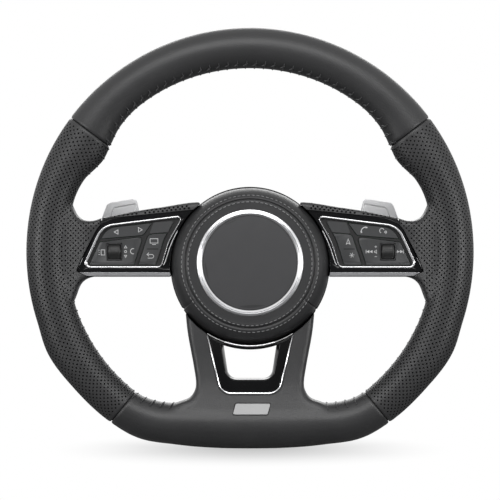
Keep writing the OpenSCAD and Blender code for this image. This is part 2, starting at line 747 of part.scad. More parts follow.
// Depth of the lower trim's face, which leans back towards the hub.
lean = 5.5 / 67;
module lean_place(shift) {
    translate([0, -2.2 + shift, down(-50)]) rotate([atan(lean), 0, 0]) children();
}
module lower_face(shift) {
    lean_place(shift) translate([-100, front, -120]) cube([200, -front, 180]);
}

// Gloss black moulding in the lower spoke opening, with bevelled inner walls and an arch under
// the airbag, and the bright line round it.
function opening_ring(y, grow) =
    let (top = down(-50), foot = down(-105) - grow)
    [for (p = rounded([[26.1 + grow, top], [17.8 + grow, foot], [-17.8 - grow, foot], [-26.1 - grow, top]],
                      [0, 8 + grow, 8 + grow, 0])) [p[0], y, p[1]]];
arch_r = well_r + 2.6;
line_w = 1.3;
module lower_trim() {
    color("#0c0c0d") difference() {
        slab(-12, 15) line_outline();
        difference() {
            loft([opening_ring(back, 0), opening_ring(6, 0), opening_ring(-14, 7.5)]);
            bar_y(0, skirt_z, arch_r, front, back);
        }
        lower_face(0);
        difference() {
            slab(front, back) line_outline(-1);
            slab(front, back) line_outline(line_w);
            lower_back(1.1);
        }
        bar_y(0, skirt_z, well_r + line_w, front, 1);
        well();
    }
}
module lower_back(shift) {
    lean_place(shift) translate([-100, 0, -120]) cube([200, back, 180]);
}
module lower_trim_line() {
    color("#dcdddf") {
        difference() {
            slab(-12, 15) line_outline();
            slab(front, back) line_outline(line_w - fit);
            lower_face(-0.5);
            lower_back(1);
            well();
        }
        intersection() {
            difference() {
                bar_y(0, skirt_z, well_r + line_w - fit, -4.5, 0.9);
                well();
            }
            slab(front, back) line_outline(line_w);
        }
    }
}

module badge_plate() {
    color("#c9cacc") badge_place() difference() {
        badge_form(0, -0.9, 1);
        badge_form(-1.2, -2, -0.5);
    }
}

// Rear cover: a bowl round the hub with a wing behind each side spoke.
wing_end = rim_in - 28.2;
module wing_outline(inset) {
    steps = [for (u = [28.5, 34, 44, 60, 76, rim_in - 51.6]) if (u < 76.1 || u > 90) u];
    offset(delta = -inset) polygon(concat(
        [for (u = steps) [rim_in - u, curve(spoke_top, u) - 0.4]],
        [[30, 36], [30, -20.2], [wing_end + 0.6, -20.2]]));
}
module bowl(r, y0, y1, edge) {
    turned(skirt_z, [[0, y0], [r, y0], [r, y0 + 8], [r - 4.3, y1 - edge], [r - 4.3 - edge, y1], [0, y1]]);
}
module rear_cover() {
    color("#232324") difference() {
        union() {
            bowl(cover_r, bowl_y, bowl_floor + wall, 3.5);
            difference() {
                for (name = ["left", "right"]) mirror([name == "left" ? 1 : 0, 0, 0])
                    slab(wing_front, wing_y + wall) wing_outline(0);
                bar_y(0, skirt_z, well_r, front, bowl_y);
            }
        }
        bowl(cover_r - wall, bowl_y - 1, bowl_floor, 2.2);
        for (name = ["left", "right"]) mirror([name == "left" ? 1 : 0, 0, 0]) {
            slab(front, wing_y) wing_outline(wall);
            lower_arm_form(0.6);
            block(wing_end - 8, wing_end + 8, front, arm_y + 5.4, -13.5, 21);
        }
        bar_y(0, 0, boss_r + 13, 30, 60);
    }
}
module rear_cover_screws() {
    seat = wing_y + wall;
    color("#6b6d70") for (s = [-1, 1]) for (z = [-9.6, 12]) translate([s * across(106), 0, z]) difference() {
        bar_y(0, 0, 3, seat, seat + 1.6);
        rotate([0, 45, 0]) block(-1.2, 1.2, seat + 0.7, 60, -1.2, 1.2);
    }
}

// Airbag module. The cover is a moulded shell with a rounded shoulder and a seat for the ring.
shoulder_w = cover_r - ring_r - 4.2;
shoulder_h = 18;
function shoulder(t, inset) =
    [cover_r - shoulder_w + (shoulder_w - inset) * sin(t), face_y + shoulder_h - (shoulder_h - inset) * cos(t)];
ring_seat = 1.2;
module airbag_cover() {
    color("#2b2b2d") difference() {
        turned(skirt_z, concat(
            [[0, face_y]], [for (t = [0 : 9 : 90]) shoulder(t, 0)],
            [[cover_r, skirt_y], [cover_r - cover_t, skirt_y]],
            [for (t = [90 : -9 : 0]) shoulder(t, cover_t)], [[0, face_y + cover_t]]));
        bar_y(0, cover_z, ring_r + fit, front, face_y + ring_seat);
        turned(skirt_z, [[cover_seam_r - 0.6, face_y - 2], [cover_seam_r - 0.6, face_y + 1.9],
                         [cover_seam_r + 0.6, face_y + 1.9], [cover_seam_r + 0.6, face_y - 2]]);
    }
}
module airbag_ring() {
    r0 = ring_r - ring_w;
    y0 = face_y - 1.6;
    seat = face_y + ring_seat - fit;
    color("#dcdddf") turned(cover_z, [[r0, seat], [r0, y0 + 0.8], [r0 + 0.8, y0], [ring_r - 1.6, y0],
                                      [ring_r, y0 + 1.6], [ring_r, seat]]);
}
module airbag_cap() {
    r = ring_r - ring_w - fit;
    seat = face_y + ring_seat - fit;
    color("#2e2e30") turned(cover_z, [[0, seat], [r, seat], [r, face_y + 0.2], [r - 0.6, face_y - 0.2],
                                      [0.6 * r, face_y - 0.9], [0, face_y - 1.2]]);
}
module airbag_cushion() {
    y0 = face_y + cover_t + foam_gap;
    color("#d9d4c6") turned(skirt_z, [
        [0, y0], [cover_r - 21.8, y0], [cover_r - 10.8, y0 + 5.5], [cover_r - 7.8, y0 + 14],
        [cover_r - 9.8, backplate_y - foam_gap], [inflator_r + 8, backplate_y - foam_gap],
        [inflator_r + 8, 9.6], [inflator_r + 1, 9.6], [inflator_r + 1, 4.2], [0, 4.2]]);
}
module inflator() {
    color("#b9bbbe") {
        turned(skirt_z, [[0, 4.5], [inflator_r - 4, 4.5], [inflator_r, 7], [inflator_r, 10],
                         [inflator_r + 7, 10], [inflator_r + 7, 11.9], [inflator_r, 11.9], [inflator_r, 26],
                         [inflator_r - 3, 28.5], [0, 28.5]]);
        for (a = nut_turns) bar_y(nut_r * cos(a), skirt_z + nut_r * sin(a), 2, 11, 18.5);
    }
}
module airbag_backplate() {
    color("#77797c") difference() {
        bar_y(0, skirt_z, cover_r - cover_t - fit, backplate_y, backplate_y + backplate_t);
        bar_y(0, skirt_z, inflator_r + 0.3, 0, 30);
        for (a = nut_turns) bar_y(nut_r * cos(a), skirt_z + nut_r * sin(a), 2 + run, 0, 30);
    }
}
module inflator_nuts() {
    color("#9a9c9f") for (a = nut_turns) translate([nut_r * cos(a), 0, skirt_z + nut_r * sin(a)]) difference() {
        translate([0, backplate_y + backplate_t + 3.2, 0]) rotate([90, 0, 0]) cylinder(r = 3.9, h = 3.2, $fn = 6);
        bar_y(0, 0, 2 + run, 0, 30);
    }
}
pin_flange = 1.4;
module horn_guide_pins() {
    y0 = backplate_y + backplate_t;
    color("#9a9c9f") at_guides() {
        bar_y(0, 0, 6.5, y0, y0 + pin_flange);
        bar_y(0, 0, guide_pin_r, y0, plate_y + plate_t - 0.5);
    }
}
spring_turns = 4.5;
wire_r = 0.6;
module horn_springs() {
    y0 = backplate_y + backplate_t + pin_flange + wire_r;
    y1 = plate_y - wire_r;
    steps = 45;
    color("#9a9c9f") at_guides()
        loft([for (i = [0 : steps]) let (a = spring_turns * 360 * i / steps, y = mix(y0, y1, i / steps))
            [for (j = [0 : 3]) let (r = 5 + wire_r * cos(90 * j))
                [r * cos(a), y - wire_r * sin(90 * j), r * sin(a)]]]);
}

place() armature();
place() frame_arms();
place() rim_foam();
place() leather_top();
place("left") leather_grip();  // leather_grip_left
place() leather_grip();  // leather_grip_right
place() leather_bottom();
place("left") spoke_trim();  // spoke_trim_left
place() spoke_trim();  // spoke_trim_right
place("left") spoke_strip();  // spoke_strip_left
place() spoke_strip();  // spoke_strip_right
place("left") bezel();  // bezel_left
place() bezel();  // bezel_right
place("left") switch_fascia();  // switch_fascia_left
place() switch_fascia();  // switch_fascia_right
place("left") switch_housing(left_rx);  // switch_housing_left
place() switch_housing(right_rx);  // switch_housing_right
place("left") switch_board(left_rx);  // switch_board_left
place() switch_board(right_rx);  // switch_board_right
place("left") rocker_key();  // rocker_key_left
place() rocker_key();  // rocker_key_right
place("left") mode_key();  // mode_key_left
place() mode_key();  // mode_key_right
place("left") roller_pad(left_rx);  // roller_pad_left
place() roller_pad(right_rx);  // roller_pad_right
place("left") roller_cradle(left_rx);  // roller_cradle_left
place() roller_cradle(right_rx);  // roller_cradle_right
place("left") roller(left_rx);  // roller_left
place() roller(right_rx);  // roller_right
place("left") roller_axle(left_rx);  // roller_axle_left
place() roller_axle(right_rx);  // roller_axle_right
place("left") paddle_bracket();  // paddle_bracket_left
place() paddle_bracket();  // paddle_bracket_right
place("left") paddle_lever();  // paddle_lever_left
place() paddle_lever();  // paddle_lever_right
place("left") paddle_blade();  // paddle_blade_left
place() paddle_blade();  // paddle_blade_right
place("left") paddle_pin();  // paddle_pin_left
place() paddle_pin();  // paddle_pin_right
place() lower_trim();
place() lower_trim_line();
place() badge_plate();
place() rear_cover();
place() rear_cover_screws();
place() airbag_cover();
place() airbag_ring();
place() airbag_cap();
place() airbag_cushion();
place() inflator();
place() airbag_backplate();
place() inflator_nuts();
place() horn_guide_pins();
place() horn_springs();
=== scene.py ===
import json
import math

import bmesh
import bpy
import numpy as np
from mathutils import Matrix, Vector
from mathutils.bvhtree import BVHTree
from mathutils.kdtree import KDTree

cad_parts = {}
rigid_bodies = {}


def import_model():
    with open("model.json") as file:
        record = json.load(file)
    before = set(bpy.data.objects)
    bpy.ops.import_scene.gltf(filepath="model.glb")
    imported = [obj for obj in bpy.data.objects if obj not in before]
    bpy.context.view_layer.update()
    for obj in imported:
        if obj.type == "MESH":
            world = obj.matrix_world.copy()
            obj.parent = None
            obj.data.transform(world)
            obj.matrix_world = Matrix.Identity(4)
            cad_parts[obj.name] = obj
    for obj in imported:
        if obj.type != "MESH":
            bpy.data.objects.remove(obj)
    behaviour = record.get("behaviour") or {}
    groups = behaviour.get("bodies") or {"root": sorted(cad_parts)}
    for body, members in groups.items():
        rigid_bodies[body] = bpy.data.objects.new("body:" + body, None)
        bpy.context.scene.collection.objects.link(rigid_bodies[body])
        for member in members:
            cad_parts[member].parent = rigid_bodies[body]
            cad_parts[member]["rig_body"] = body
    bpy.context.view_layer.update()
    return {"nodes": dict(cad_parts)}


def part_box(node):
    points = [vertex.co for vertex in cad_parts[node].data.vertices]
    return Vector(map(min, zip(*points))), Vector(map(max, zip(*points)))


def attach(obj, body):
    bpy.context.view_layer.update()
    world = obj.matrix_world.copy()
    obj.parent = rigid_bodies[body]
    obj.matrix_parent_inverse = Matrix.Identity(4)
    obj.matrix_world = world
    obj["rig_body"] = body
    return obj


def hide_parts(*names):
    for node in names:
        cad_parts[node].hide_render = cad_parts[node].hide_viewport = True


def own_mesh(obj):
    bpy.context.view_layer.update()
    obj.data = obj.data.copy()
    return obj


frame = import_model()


# Cast frame
# A pressure die-cast magnesium skeleton: a rod inside the rim, two side arms, two lower arms
# and a hub plate with the splined boss. All of it is buried, and its skin is grey and sandy.
class Shade:
    """A socket of a material's nodes. Arithmetic on it adds Math nodes."""

    def __init__(self, tree, socket):
        self.tree = tree
        self.socket = socket

    def node(self, kind, settings=None, sockets=None, out=0):
        made = self.tree.nodes.new("ShaderNode" + kind)
        for name, value in (settings or {}).items():
            setattr(made, name, value)
        for name, value in (sockets or {}).items():
            if isinstance(value, Shade):
                self.tree.links.new(value.socket, made.inputs[name])
            else:
                made.inputs[name].default_value = value
        return Shade(self.tree, made.outputs[out])

    def maths(self, operation, *values):
        return self.node("Math", {"operation": operation}, dict(enumerate(values)))

    def __add__(self, other):
        return self.maths("ADD", self, other)

    def __sub__(self, other):
        return self.maths("SUBTRACT", self, other)

    def __rsub__(self, other):
        return self.maths("SUBTRACT", other, self)

    def __mul__(self, other):
        return self.maths("MULTIPLY", self, other)

    __radd__ = __add__
    __rmul__ = __mul__


def start_material(name):
    """A new material, and its object coordinates in metres."""
    material = bpy.data.materials.new(name)
    material.use_nodes = True
    spot = material.node_tree.nodes.new("ShaderNodeTexCoord")
    return material, Shade(material.node_tree, spot.outputs["Object"])


def end_material(material, sockets):
    shader = material.node_tree.nodes["Principled BSDF"]
    for name, value in sockets.items():
        if isinstance(value, Shade):
            material.node_tree.links.new(value.socket, shader.inputs[name])
        else:
            shader.inputs[name].default_value = value
    return material


def tone(shade, dark, light, mask):
    """A colour between two others by a mask."""
    sockets = {0: mask, 6: (*dark, 1), 7: (*light, 1)}
    return shade.node("Mix", {"data_type": "RGBA"}, sockets, out=2)


def grained(name, dark, light, roughness, scale, depth, metallic=0.0, stretch=(1, 1, 1)):
    """Cast, moulded or brushed stuff: cloudy colour, uneven gloss and a fine surface grain."""
    material, spot = start_material(name)
    clouds = spot.node("TexNoise", {}, {"Vector": spot, "Scale": 60.0, "Detail": 3.0})
    pulled = spot.node("Mapping", {}, {"Vector": spot, "Scale": stretch})
    grain = spot.node("TexNoise", {}, {"Vector": pulled, "Scale": scale, "Detail": 2.0})
    bump = spot.node("Bump", {}, {"Strength": 0.5, "Distance": depth, "Height": grain})
    return end_material(material, {
        "Base Color": tone(spot, dark, light, clouds * 0.6 + grain * 0.4),
        "Roughness": roughness + (grain - 0.5) * 0.12,
        "Metallic": metallic,
        "Normal": bump,
    })


def give(piece, material):
    piece.data.materials.clear()
    piece.data.materials.append(material)


cast_metal = grained("cast_metal", (0.24, 0.25, 0.26), (0.36, 0.37, 0.38), 0.5, 1800.0, 0.00008, 0.9)
for name in ("armature", "frame_arms"):
    give(frame["nodes"][name], cast_metal)


# Moulded foam
# Hard grey-black polyurethane foam, moulded over the skeleton with a closed skin. It fills the
# leather, and shows only as a thin edge inside the pod openings.
foam_skin = grained("foam_skin", (0.022, 0.022, 0.023), (0.035, 0.035, 0.036), 0.75, 2600.0, 0.0001)
give(frame["nodes"]["rim_foam"], foam_skin)


# Rim leather, top section
# One piece of smooth automotive leather drawn over the foam, its ends rolled into the sewn
# joints at the shoulders and its long edges laced together along the inside of the rim.
DISH = 56.0
RIM_R, RIM_W, RIM_T = 185.0, 33.4, 30.0
THUMB, FLAT = 8.8, 22.6
UPPER_SEAM, LOWER_SEAM = 53.2, 140.7
SEAM_GAP = 0.4
OUTER = [(0, 0), (60, 0), (108, 0), (117, 2), (128, -1), (140, -3), (149, -0.25 * FLAT),
         (159, -0.64 * FLAT), (170, -0.91 * FLAT), (180, -FLAT)]
INNER = [(0, 0), (37, -0.4), (46, -0.3 * THUMB), (52, -0.72 * THUMB), (57.5, -THUMB),
         (61.5, -0.78 * THUMB), (66, -0.32 * THUMB), (73, -0.4), (90, -0.8), (112, -1), (136, -2.2),
         (143, -0.14 * FLAT), (150, -0.38 * FLAT), (160, -0.87 * FLAT), (170, -1.14 * FLAT),
         (180, -1.22 * FLAT)]


def curve(table, x):
    """Smooth curve through a table of positions and values, flat at both ends."""
    if x <= table[0][0]:
        return table[0][1]
    if x >= table[-1][0]:
        return table[-1][1]
    i = 0
    while x > table[i + 1][0]:
        i += 1

    def slope(k):
        if k == 0 or k == len(table) - 1:
            return 0.0
        return (table[k + 1][1] - table[k - 1][1]) / (table[k + 1][0] - table[k - 1][0])

    h = table[i + 1][0] - table[i][0]
    t = (x - table[i][0]) / h
    return (table[i][1] * (1 + 2 * t) * (1 - t) ** 2 + table[i + 1][1] * t * t * (3 - 2 * t)
            + h * slope(i) * t * (1 - t) ** 2 - h * slope(i + 1) * t * t * (1 - t))


def rim_point(angle, turn, inset=0.0):
    """A point of the rim's skin in mm: angle from the top, turn round the section."""
    a = abs(angle) if abs(angle) <= 180 else 360 - abs(angle)
    outer = RIM_R + curve(OUTER, a) - inset
    inner = RIM_R - RIM_W + curve(INNER, a) + inset
    t = math.radians(turn)
    r = (outer + inner) / 2 + (outer - inner) / 2 * math.cos(t)
    y = (RIM_T / 2 - inset) * math.sin(t)
    return (r * math.sin(math.radians(angle)), y, r * math.cos(math.radians(angle)))


def loft(rings, closed=False):
    """Points and faces through a row of rings with the same number of points."""
    count = len(rings[0])
    points = [p for ring in rings for p in ring]
    faces = []
    for i in range(len(rings) if closed else len(rings) - 1):
        a = i * count
        b = (i + 1) % len(rings) * count
        for j in range(count):
            k = (j + 1) % count
            faces.append((a + j, a + k, b + k, b + j))
    if not closed:
        faces.append(tuple(range(count)))
        faces.append(tuple(range(len(points) - count, len(points))))
    return points, faces


def new_piece(name, data):
    piece = bpy.data.objects.new(name, data)
    bpy.context.scene.collection.objects.link(piece)
    return piece


def solid(name, forms, side=1):
    """A piece from forms in mm, with depths from the rim's middle plane."""
    skin = bmesh.new()
    for points, faces in forms:
        corners = [skin.verts.new((side * x / 1000, (y - DISH) / 1000, z / 1000))
                   for x, y, z in points]
        for face in faces:
            skin.faces.new([corners[i] for i in face])
    bmesh.ops.recalc_face_normals(skin, faces=skin.faces)
    mesh = bpy.data.meshes.new(name)
    skin.to_mesh(mesh)
    skin.free()
    mesh.shade_smooth()
    return new_piece(name, mesh)


def roll_end(piece, angle, keep, side=1, roll=2.6, drop=1.2):
    """Cut a leather section square at a seam and roll its edge in. keep is +1 where the
    section lies on the side of growing angles."""
    rim_from = 0.118
    a = math.radians(angle)
    out = Vector((side * math.sin(a), 0, math.cos(a)))
    along = Vector((side * math.cos(a), 0, -math.sin(a))) * keep
    skin = bmesh.new()
    skin.from_mesh(piece.data)

    def near():
        faces = [f for f in skin.faces if f.calc_center_median().dot(out) > rim_from]
        edges = {e for f in faces for e in f.edges}
        corners = {v for f in faces for v in f.verts}
        return faces + list(edges) + list(corners)

    for distance in (roll, 0.7 * roll, 0.45 * roll, 0.25 * roll, 0.1 * roll):
        bmesh.ops.bisect_plane(skin, geom=near(), plane_co=along * distance / 1000, plane_no=along)
    bmesh.ops.bisect_plane(skin, geom=near(), plane_co=along * SEAM_GAP / 2000, plane_no=along,
                           clear_inner=True)
    skin.normal_update()
    moves = []
    for v in skin.verts:
        distance = v.co.dot(along) * 1000 - SEAM_GAP / 2
        if v.co.dot(out) > rim_from and distance < roll:
            level = v.normal - along * v.normal.dot(along)
            depth = drop * (1 - math.sqrt(1 - (1 - max(distance, 0) / roll) ** 2))
            moves.append((v, level.normalized() * depth / 1000))
    for v, move in moves:
        v.co -= move
    rim = [e for e in skin.edges if e.is_boundary]
    bmesh.ops.holes_fill(skin, edges=rim, sides=0)
    bmesh.ops.recalc_face_normals(skin, faces=skin.faces)
    skin.to_mesh(piece.data)
    skin.free()


def rim_sweep(start, end, step=0.6, around=56):
    rings = max(2, round((end - start) / step))
    return loft([[rim_point(start + (end - start) * i / rings, 360 * j / around)
                  for j in range(around)] for i in range(rings + 1)])


def leather_finish(name, dark, light, roughness):
    """Pigmented leather: pebbled cells with fine creases between them, and soft gloss."""
    material, spot = start_material(name)
    warp = spot.node("TexNoise", {}, {"Vector": spot, "Scale": 700.0, "Detail": 2.0}, out=1)
    sway = spot.node("VectorMath", {"operation": "SCALE"}, {0: warp, "Scale": 0.0006})
    bent = spot.node("VectorMath", {"operation": "ADD"}, {0: spot, 1: sway})
    cells = spot.node("TexVoronoi", {"feature": "DISTANCE_TO_EDGE"}, {"Vector": bent, "Scale": 780.0})
    pebble = spot.node("MapRange", {"interpolation_type": "SMOOTHSTEP"},
                       {"Value": cells, "From Min": 0.0, "From Max": 0.28})
    clouds = spot.node("TexNoise", {}, {"Vector": spot, "Scale": 38.0, "Detail": 4.0})
    pores = spot.node("TexNoise", {}, {"Vector": spot, "Scale": 3200.0, "Detail": 1.0})
    height = pebble * 0.8 + pores * 0.2
    bump = spot.node("Bump", {}, {"Strength": 0.32, "Distance": 0.00012, "Height": height})
    return end_material(material, {
        "Base Color": tone(spot, dark, light, clouds * 0.7 + pebble * 0.3),
        "Roughness": roughness + (clouds - 0.5) * 0.1 - pebble * 0.04,
        "Normal": bump,
    })


def sharpen(piece, degrees):
    piece.data.set_sharp_from_angle(angle=math.radians(degrees))


def fit(piece, material, body, slot, *nodes):
    """Give a piece its material and body, and hide the CAD nodes that it stands for. The slot is not used.
    """
    give(piece, material)
    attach(piece, body)
    if nodes:
        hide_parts(*nodes)


smooth_leather = leather_finish("smooth_leather", (0.019, 0.019, 0.0195), (0.032, 0.032, 0.033), 0.44)

top_leather = solid("top_leather", [rim_sweep(-UPPER_SEAM - 3, UPPER_SEAM + 3, 0.6, 64)])
roll_end(top_leather, -UPPER_SEAM, 1)
roll_end(top_leather, UPPER_SEAM, -1)
fit(top_leather, smooth_leather, "root", "smooth_leather", "leather_top")


# Perforated grips
# Left and right sections of the same leather, punched all over in a diamond pattern of small
# holes. Each runs on from the rim over the padded spoke, and is cut out round the switch pod.
SPOKE_TOP = [(-14, 52), (-2, 50), (3.5, 41), (5.5, 36), (8, 30.6), (12, 27), (17, 25.6), (22, 25.8),
             (28, 27.6), (44, 31), (60, 34.2), (76, 36.6), (111, 41.2)]
SPOKE_BOTTOM = [(-14, -52), (-2, -50), (5, -42), (7.6, -36), (9.5, -29.5), (13, -24.4), (18, -21.6),
                (26, -20.3), (40, -20), (111, -20)]
SPOKE_FRONT = [(-14, -12), (-2, -10.5), (6, -7.4), (14, -4), (22, -1.8), (40, -1.2), (111, -0.8)]
SPOKE_BACK = [(-14, 12), (-2, 14.8), (8, 21), (16, 25.4), (26, 25.4), (28, 14.2), (111, 14.2)]
HUB_WELL_R, HUB_WELL_Z = 66.2, -12.0
FLOOR_BACK = 16.85
WING_END = 124.0
HOLE_PITCH, HOLE_D, STRIP_HOLE_D, HOLE_DEPTH = 2.9, 1.5, 1.9, 1.1
SIDES = (("left", -1), ("right", 1))


def settle(piece):
    """Turn a piece's modifiers into plain mesh."""
    graph = bpy.context.evaluated_depsgraph_get()
    mesh = bpy.data.meshes.new_from_object(piece.evaluated_get(graph))
    piece.modifiers.clear()
    piece.data = mesh


def melt(piece, voxel):
    """Join a piece's overlapping closed forms into one skin of even squares."""
    skin = piece.modifiers.new("melt", "REMESH")
    skin.mode = "VOXEL"
    skin.voxel_size = voxel
    skin.use_smooth_shade = True
    settle(piece)


def relax(piece, rounds, pull, back=0.0):
    """Smooth a skin. pull gives the strength for points in mm, and back undoes shrinking."""
    mesh = piece.data
    count = len(mesh.vertices)
    flat = np.empty(count * 3)
    mesh.vertices.foreach_get("co", flat)
    place = flat.reshape(-1, 3)
    ends = np.empty(len(mesh.edges) * 2, dtype=np.int32)
    mesh.edges.foreach_get("vertices", ends)
    a, b = ends[0::2], ends[1::2]
    links = np.bincount(ends, minlength=count)
    at = place * 1000
    strength = pull(abs(at[:, 0]), at[:, 1] + DISH, at[:, 2])
    for _ in range(rounds):
        for share in ((strength, strength * back) if back else (strength,)):
            near = np.empty_like(place)
            for axis in range(3):
                near[:, axis] = (np.bincount(a, place[b, axis], count)
                                 + np.bincount(b, place[a, axis], count)) / links
            place += share[:, None] * (near - place)
    mesh.vertices.foreach_set("co", place.ravel())
    mesh.update()


def draw_tight(piece):
    """One even skin over the rim and what runs on from it, with its corners eased."""
    melt(piece, 0.0015)
    relax(piece, 10, lambda x, y, z: np.full_like(x, 0.5), back=-1.04)


def round_box(u0, u1, v0, v1, r, steps=6):
    """An upright rectangle with rounded corners, as a ring of points."""
    ring = []
    for i, (u, v) in enumerate(((u1 - r, v1 - r), (u1 - r, v0 + r), (u0 + r, v0 + r), (u0 + r, v1 - r))):
        for k in range(steps + 1):
            a = math.radians(90 - 90 * i - 90 * k / steps)
            ring.append((u + r * math.cos(a), v + r * math.sin(a)))
    return ring


def spoke_form():
    rings = []
    for i in range(63):
        u = 110 - 2 * i
        box = round_box(curve(SPOKE_FRONT, u), curve(SPOKE_BACK, u),
                        curve(SPOKE_BOTTOM, u), curve(SPOKE_TOP, u), 3.4)
        rings.append([(RIM_R - RIM_W - u, p[0], p[1]) for p in box])
    return loft(rings)


def rounded(corners, radii, step=6):
    """Outline in the plane seen from the front, with rounded corners."""
    outline = []
    for i, corner in enumerate(corners):
        p = Vector(corner)
        if not radii[i]:
            outline.append(p)
            continue
        u = (Vector(corners[i - 1]) - p).normalized()
        v = (Vector(corners[(i + 1) % len(corners)]) - p).normalized()
        half = u.angle(v) / 2
        middle = p + (u + v).normalized() * radii[i] / math.sin(half)
        first = p + u * radii[i] / math.tan(half) - middle
        turn = first.angle_signed(p + v * radii[i] / math.tan(half) - middle)
        steps = max(2, math.ceil(abs(math.degrees(turn)) / step))
        for k in range(steps + 1):
            a = -turn * k / steps
            outline.append(middle + Vector((first.x * math.cos(a) - first.y * math.sin(a),
                                            first.x * math.sin(a) + first.y * math.cos(a))))
    return outline


def prism(outline, y0, y1):
    return loft([[(p[0], y, p[1]) for p in outline] for y in (y0, y1)])


def through(outline):
    """A form that passes right through the wheel."""
    return prism(outline, -60, 80)


def cut(piece, form, side=1):
    """Take a form away from a piece."""
    tool = solid("cutter", [form], side)
    taken = piece.modifiers.new("cut", "BOOLEAN")
    taken.operation = "DIFFERENCE"
    taken.solver = "MANIFOLD"
    taken.object = tool
    settle(piece)
    bpy.data.objects.remove(tool)


def circle(x, z, r, count=160):
    return [(x + r * math.cos(2 * math.pi * k / count), z + r * math.sin(2 * math.pi * k / count))
            for k in range(count)]


def new_tree(name, inputs):
    """A tree with named inputs after its geometry. It comes with a function that adds a node
    and returns its geometry or its first output, and with the sockets of the tree's inputs."""
    tree = bpy.data.node_groups.new(name, "GeometryNodeTree")
    tree.interface.new_socket("Geometry", in_out="INPUT", socket_type="NodeSocketGeometry")
    for label, kind in inputs:
        tree.interface.new_socket(label, in_out="INPUT", socket_type="NodeSocket" + kind)
    tree.interface.new_socket("Geometry", in_out="OUTPUT", socket_type="NodeSocketGeometry")

    def add(kind, settings=None, sockets=None):
        made = tree.nodes.new(kind)
        for name, value in (settings or {}).items():
            setattr(made, name, value)
        for name, value in (sockets or {}).items():
            if isinstance(value, bpy.types.NodeSocket):
                tree.links.new(value, made.inputs[name])
            else:
                made.inputs[name].default_value = value
        if made.outputs:
            return made.outputs.get("Geometry", made.outputs[0])

    return tree, add, tree.nodes.new("NodeGroupInput").outputs


def grow(piece, tree, values):
    """Run a tree on a piece with its named inputs set, and keep the result as plain mesh."""
    made = piece.modifiers.new(tree.name, "NODES")
    made.node_group = tree
    for item in tree.interface.items_tree:
        if item.in_out == "INPUT" and item.name in values:
            made[item.identifier] = values[item.name]
    settle(piece)


def stand_on(add, points, shape, along_path=False):
    """Copies of a shape whose Z points along the facing attribute, and X along the path."""
    facing = add("GeometryNodeInputNamedAttribute", {"data_type": "FLOAT_VECTOR"}, {"Name": "facing"})
    turn = add("FunctionNodeAlignRotationToVector", {"axis": "Z"}, {"Vector": facing})
    if along_path:
        turn = add("FunctionNodeAlignRotationToVector", {"axis": "X", "pivot_axis": "Z"},
                   {"Vector": add("GeometryNodeInputTangent"), "Rotation": turn})
    placed = add("GeometryNodeInstanceOnPoints", {},
                 {"Points": points, "Instance": shape, "Rotation": turn})
    return add("GeometryNodeRealizeInstances", {}, {0: placed})


def punch_tree():
    """Holes punched into leather where loose points stand, their walls near black to paint the shade inside
    them.
    """
    tree, add, given = new_tree("punched_holes", [
        ("Seeds", "Object"), ("Diameter", "Float"), ("Depth", "Float"), ("Inside", "Material"),
        ("Leather", "Material")])
    seeds = add("GeometryNodeObjectInfo", {}, {"Object": given["Seeds"]})
    radius = add("ShaderNodeMath", {"operation": "MULTIPLY"}, {0: given["Diameter"], 1: 0.5})
    depth = add("ShaderNodeMath", {"operation": "MULTIPLY"}, {0: given["Depth"], 1: 2.0})
    punch = add("GeometryNodeMeshCylinder", {}, {"Vertices": 8, "Radius": radius, "Depth": depth})
    dark = add("GeometryNodeSetMaterial", {}, {"Geometry": punch, "Material": given["Inside"]})
    holed = add("GeometryNodeMeshBoolean", {"operation": "DIFFERENCE", "solver": "MANIFOLD"},
                {0: given["Geometry"], 1: stand_on(add, seeds, dark)})
    real = add("GeometryNodeRealizeInstances", {}, {0: holed})
    inside = add("GeometryNodeMaterialSelection", {}, {"Material": given["Inside"]})
    skin = add("FunctionNodeBooleanMath", {"operation": "NOT"}, {0: inside})
    done = add("GeometryNodeSetMaterial", {},
               {"Geometry": real, "Selection": skin, "Material": given["Leather"]})
    add("NodeGroupOutput", {}, {0: done})
    return tree


def point_piece(name, places, facings, chain=False):
    """Loose points in metres, or a chain of them, with the way that each faces."""
    mesh = bpy.data.meshes.new(name)
    links = [(i, i + 1) for i in range(len(places) - 1)] if chain else []
    mesh.from_pydata(places, links, [])
    facing = mesh.attributes.new("facing", "FLOAT_VECTOR", "POINT")
    facing.data.foreach_set("vector", [c for f in facings for c in f])
    return new_piece(name, mesh)


def grip_seeds(piece, side):
    """Where the holes go: rows round the rim, then rows on the spoke where it leaves the rim."""
    tree = BVHTree.FromObject(piece, bpy.context.evaluated_depsgraph_get())
    along = HOLE_PITCH * math.sqrt(2)
    reach, rows, laced = 168, 48, 9
    outermost, steep, apart = 164, 0.35, 0.0023
    found = []
    span = LOWER_SEAM - UPPER_SEAM
    columns = int(math.radians(span) * reach / along)
    for j in range(rows):
        turn = 360 * (j + 0.5) / rows
        if abs(turn - 180) < laced:
            continue
        for i in range(columns):
            angle = UPPER_SEAM + span * (i + 0.5 + 0.5 * (j % 2)) / columns
            x, y, z = rim_point(angle, turn)
            start = Vector((side * x, y - DISH, z)) / 1000
            place, normal, face, distance = tree.find_nearest(start, 0.0012)
            if place is not None and not near_edge(place, side):
                found.append((place, normal))
    taken = KDTree(len(found))
    for i, (place, normal) in enumerate(found):
        taken.insert(place, i)
    taken.balance()
    for sign in (-1, 1):
        for i in range(56):
            x = outermost - i * along / 2
            for j in range(-16, 16):
                z = (j + 0.5 * (i % 2)) * along + 1.0
                start = Vector((side * x / 1000, (sign * 90 - DISH) / 1000, z / 1000))
                place, normal, face, distance = tree.ray_cast(start, Vector((0, -sign, 0)))
                if place is None or normal.y * sign < steep or near_edge(place, side):
                    continue
                if taken.find(place)[2] > apart:
                    found.append((place, normal))
    return found


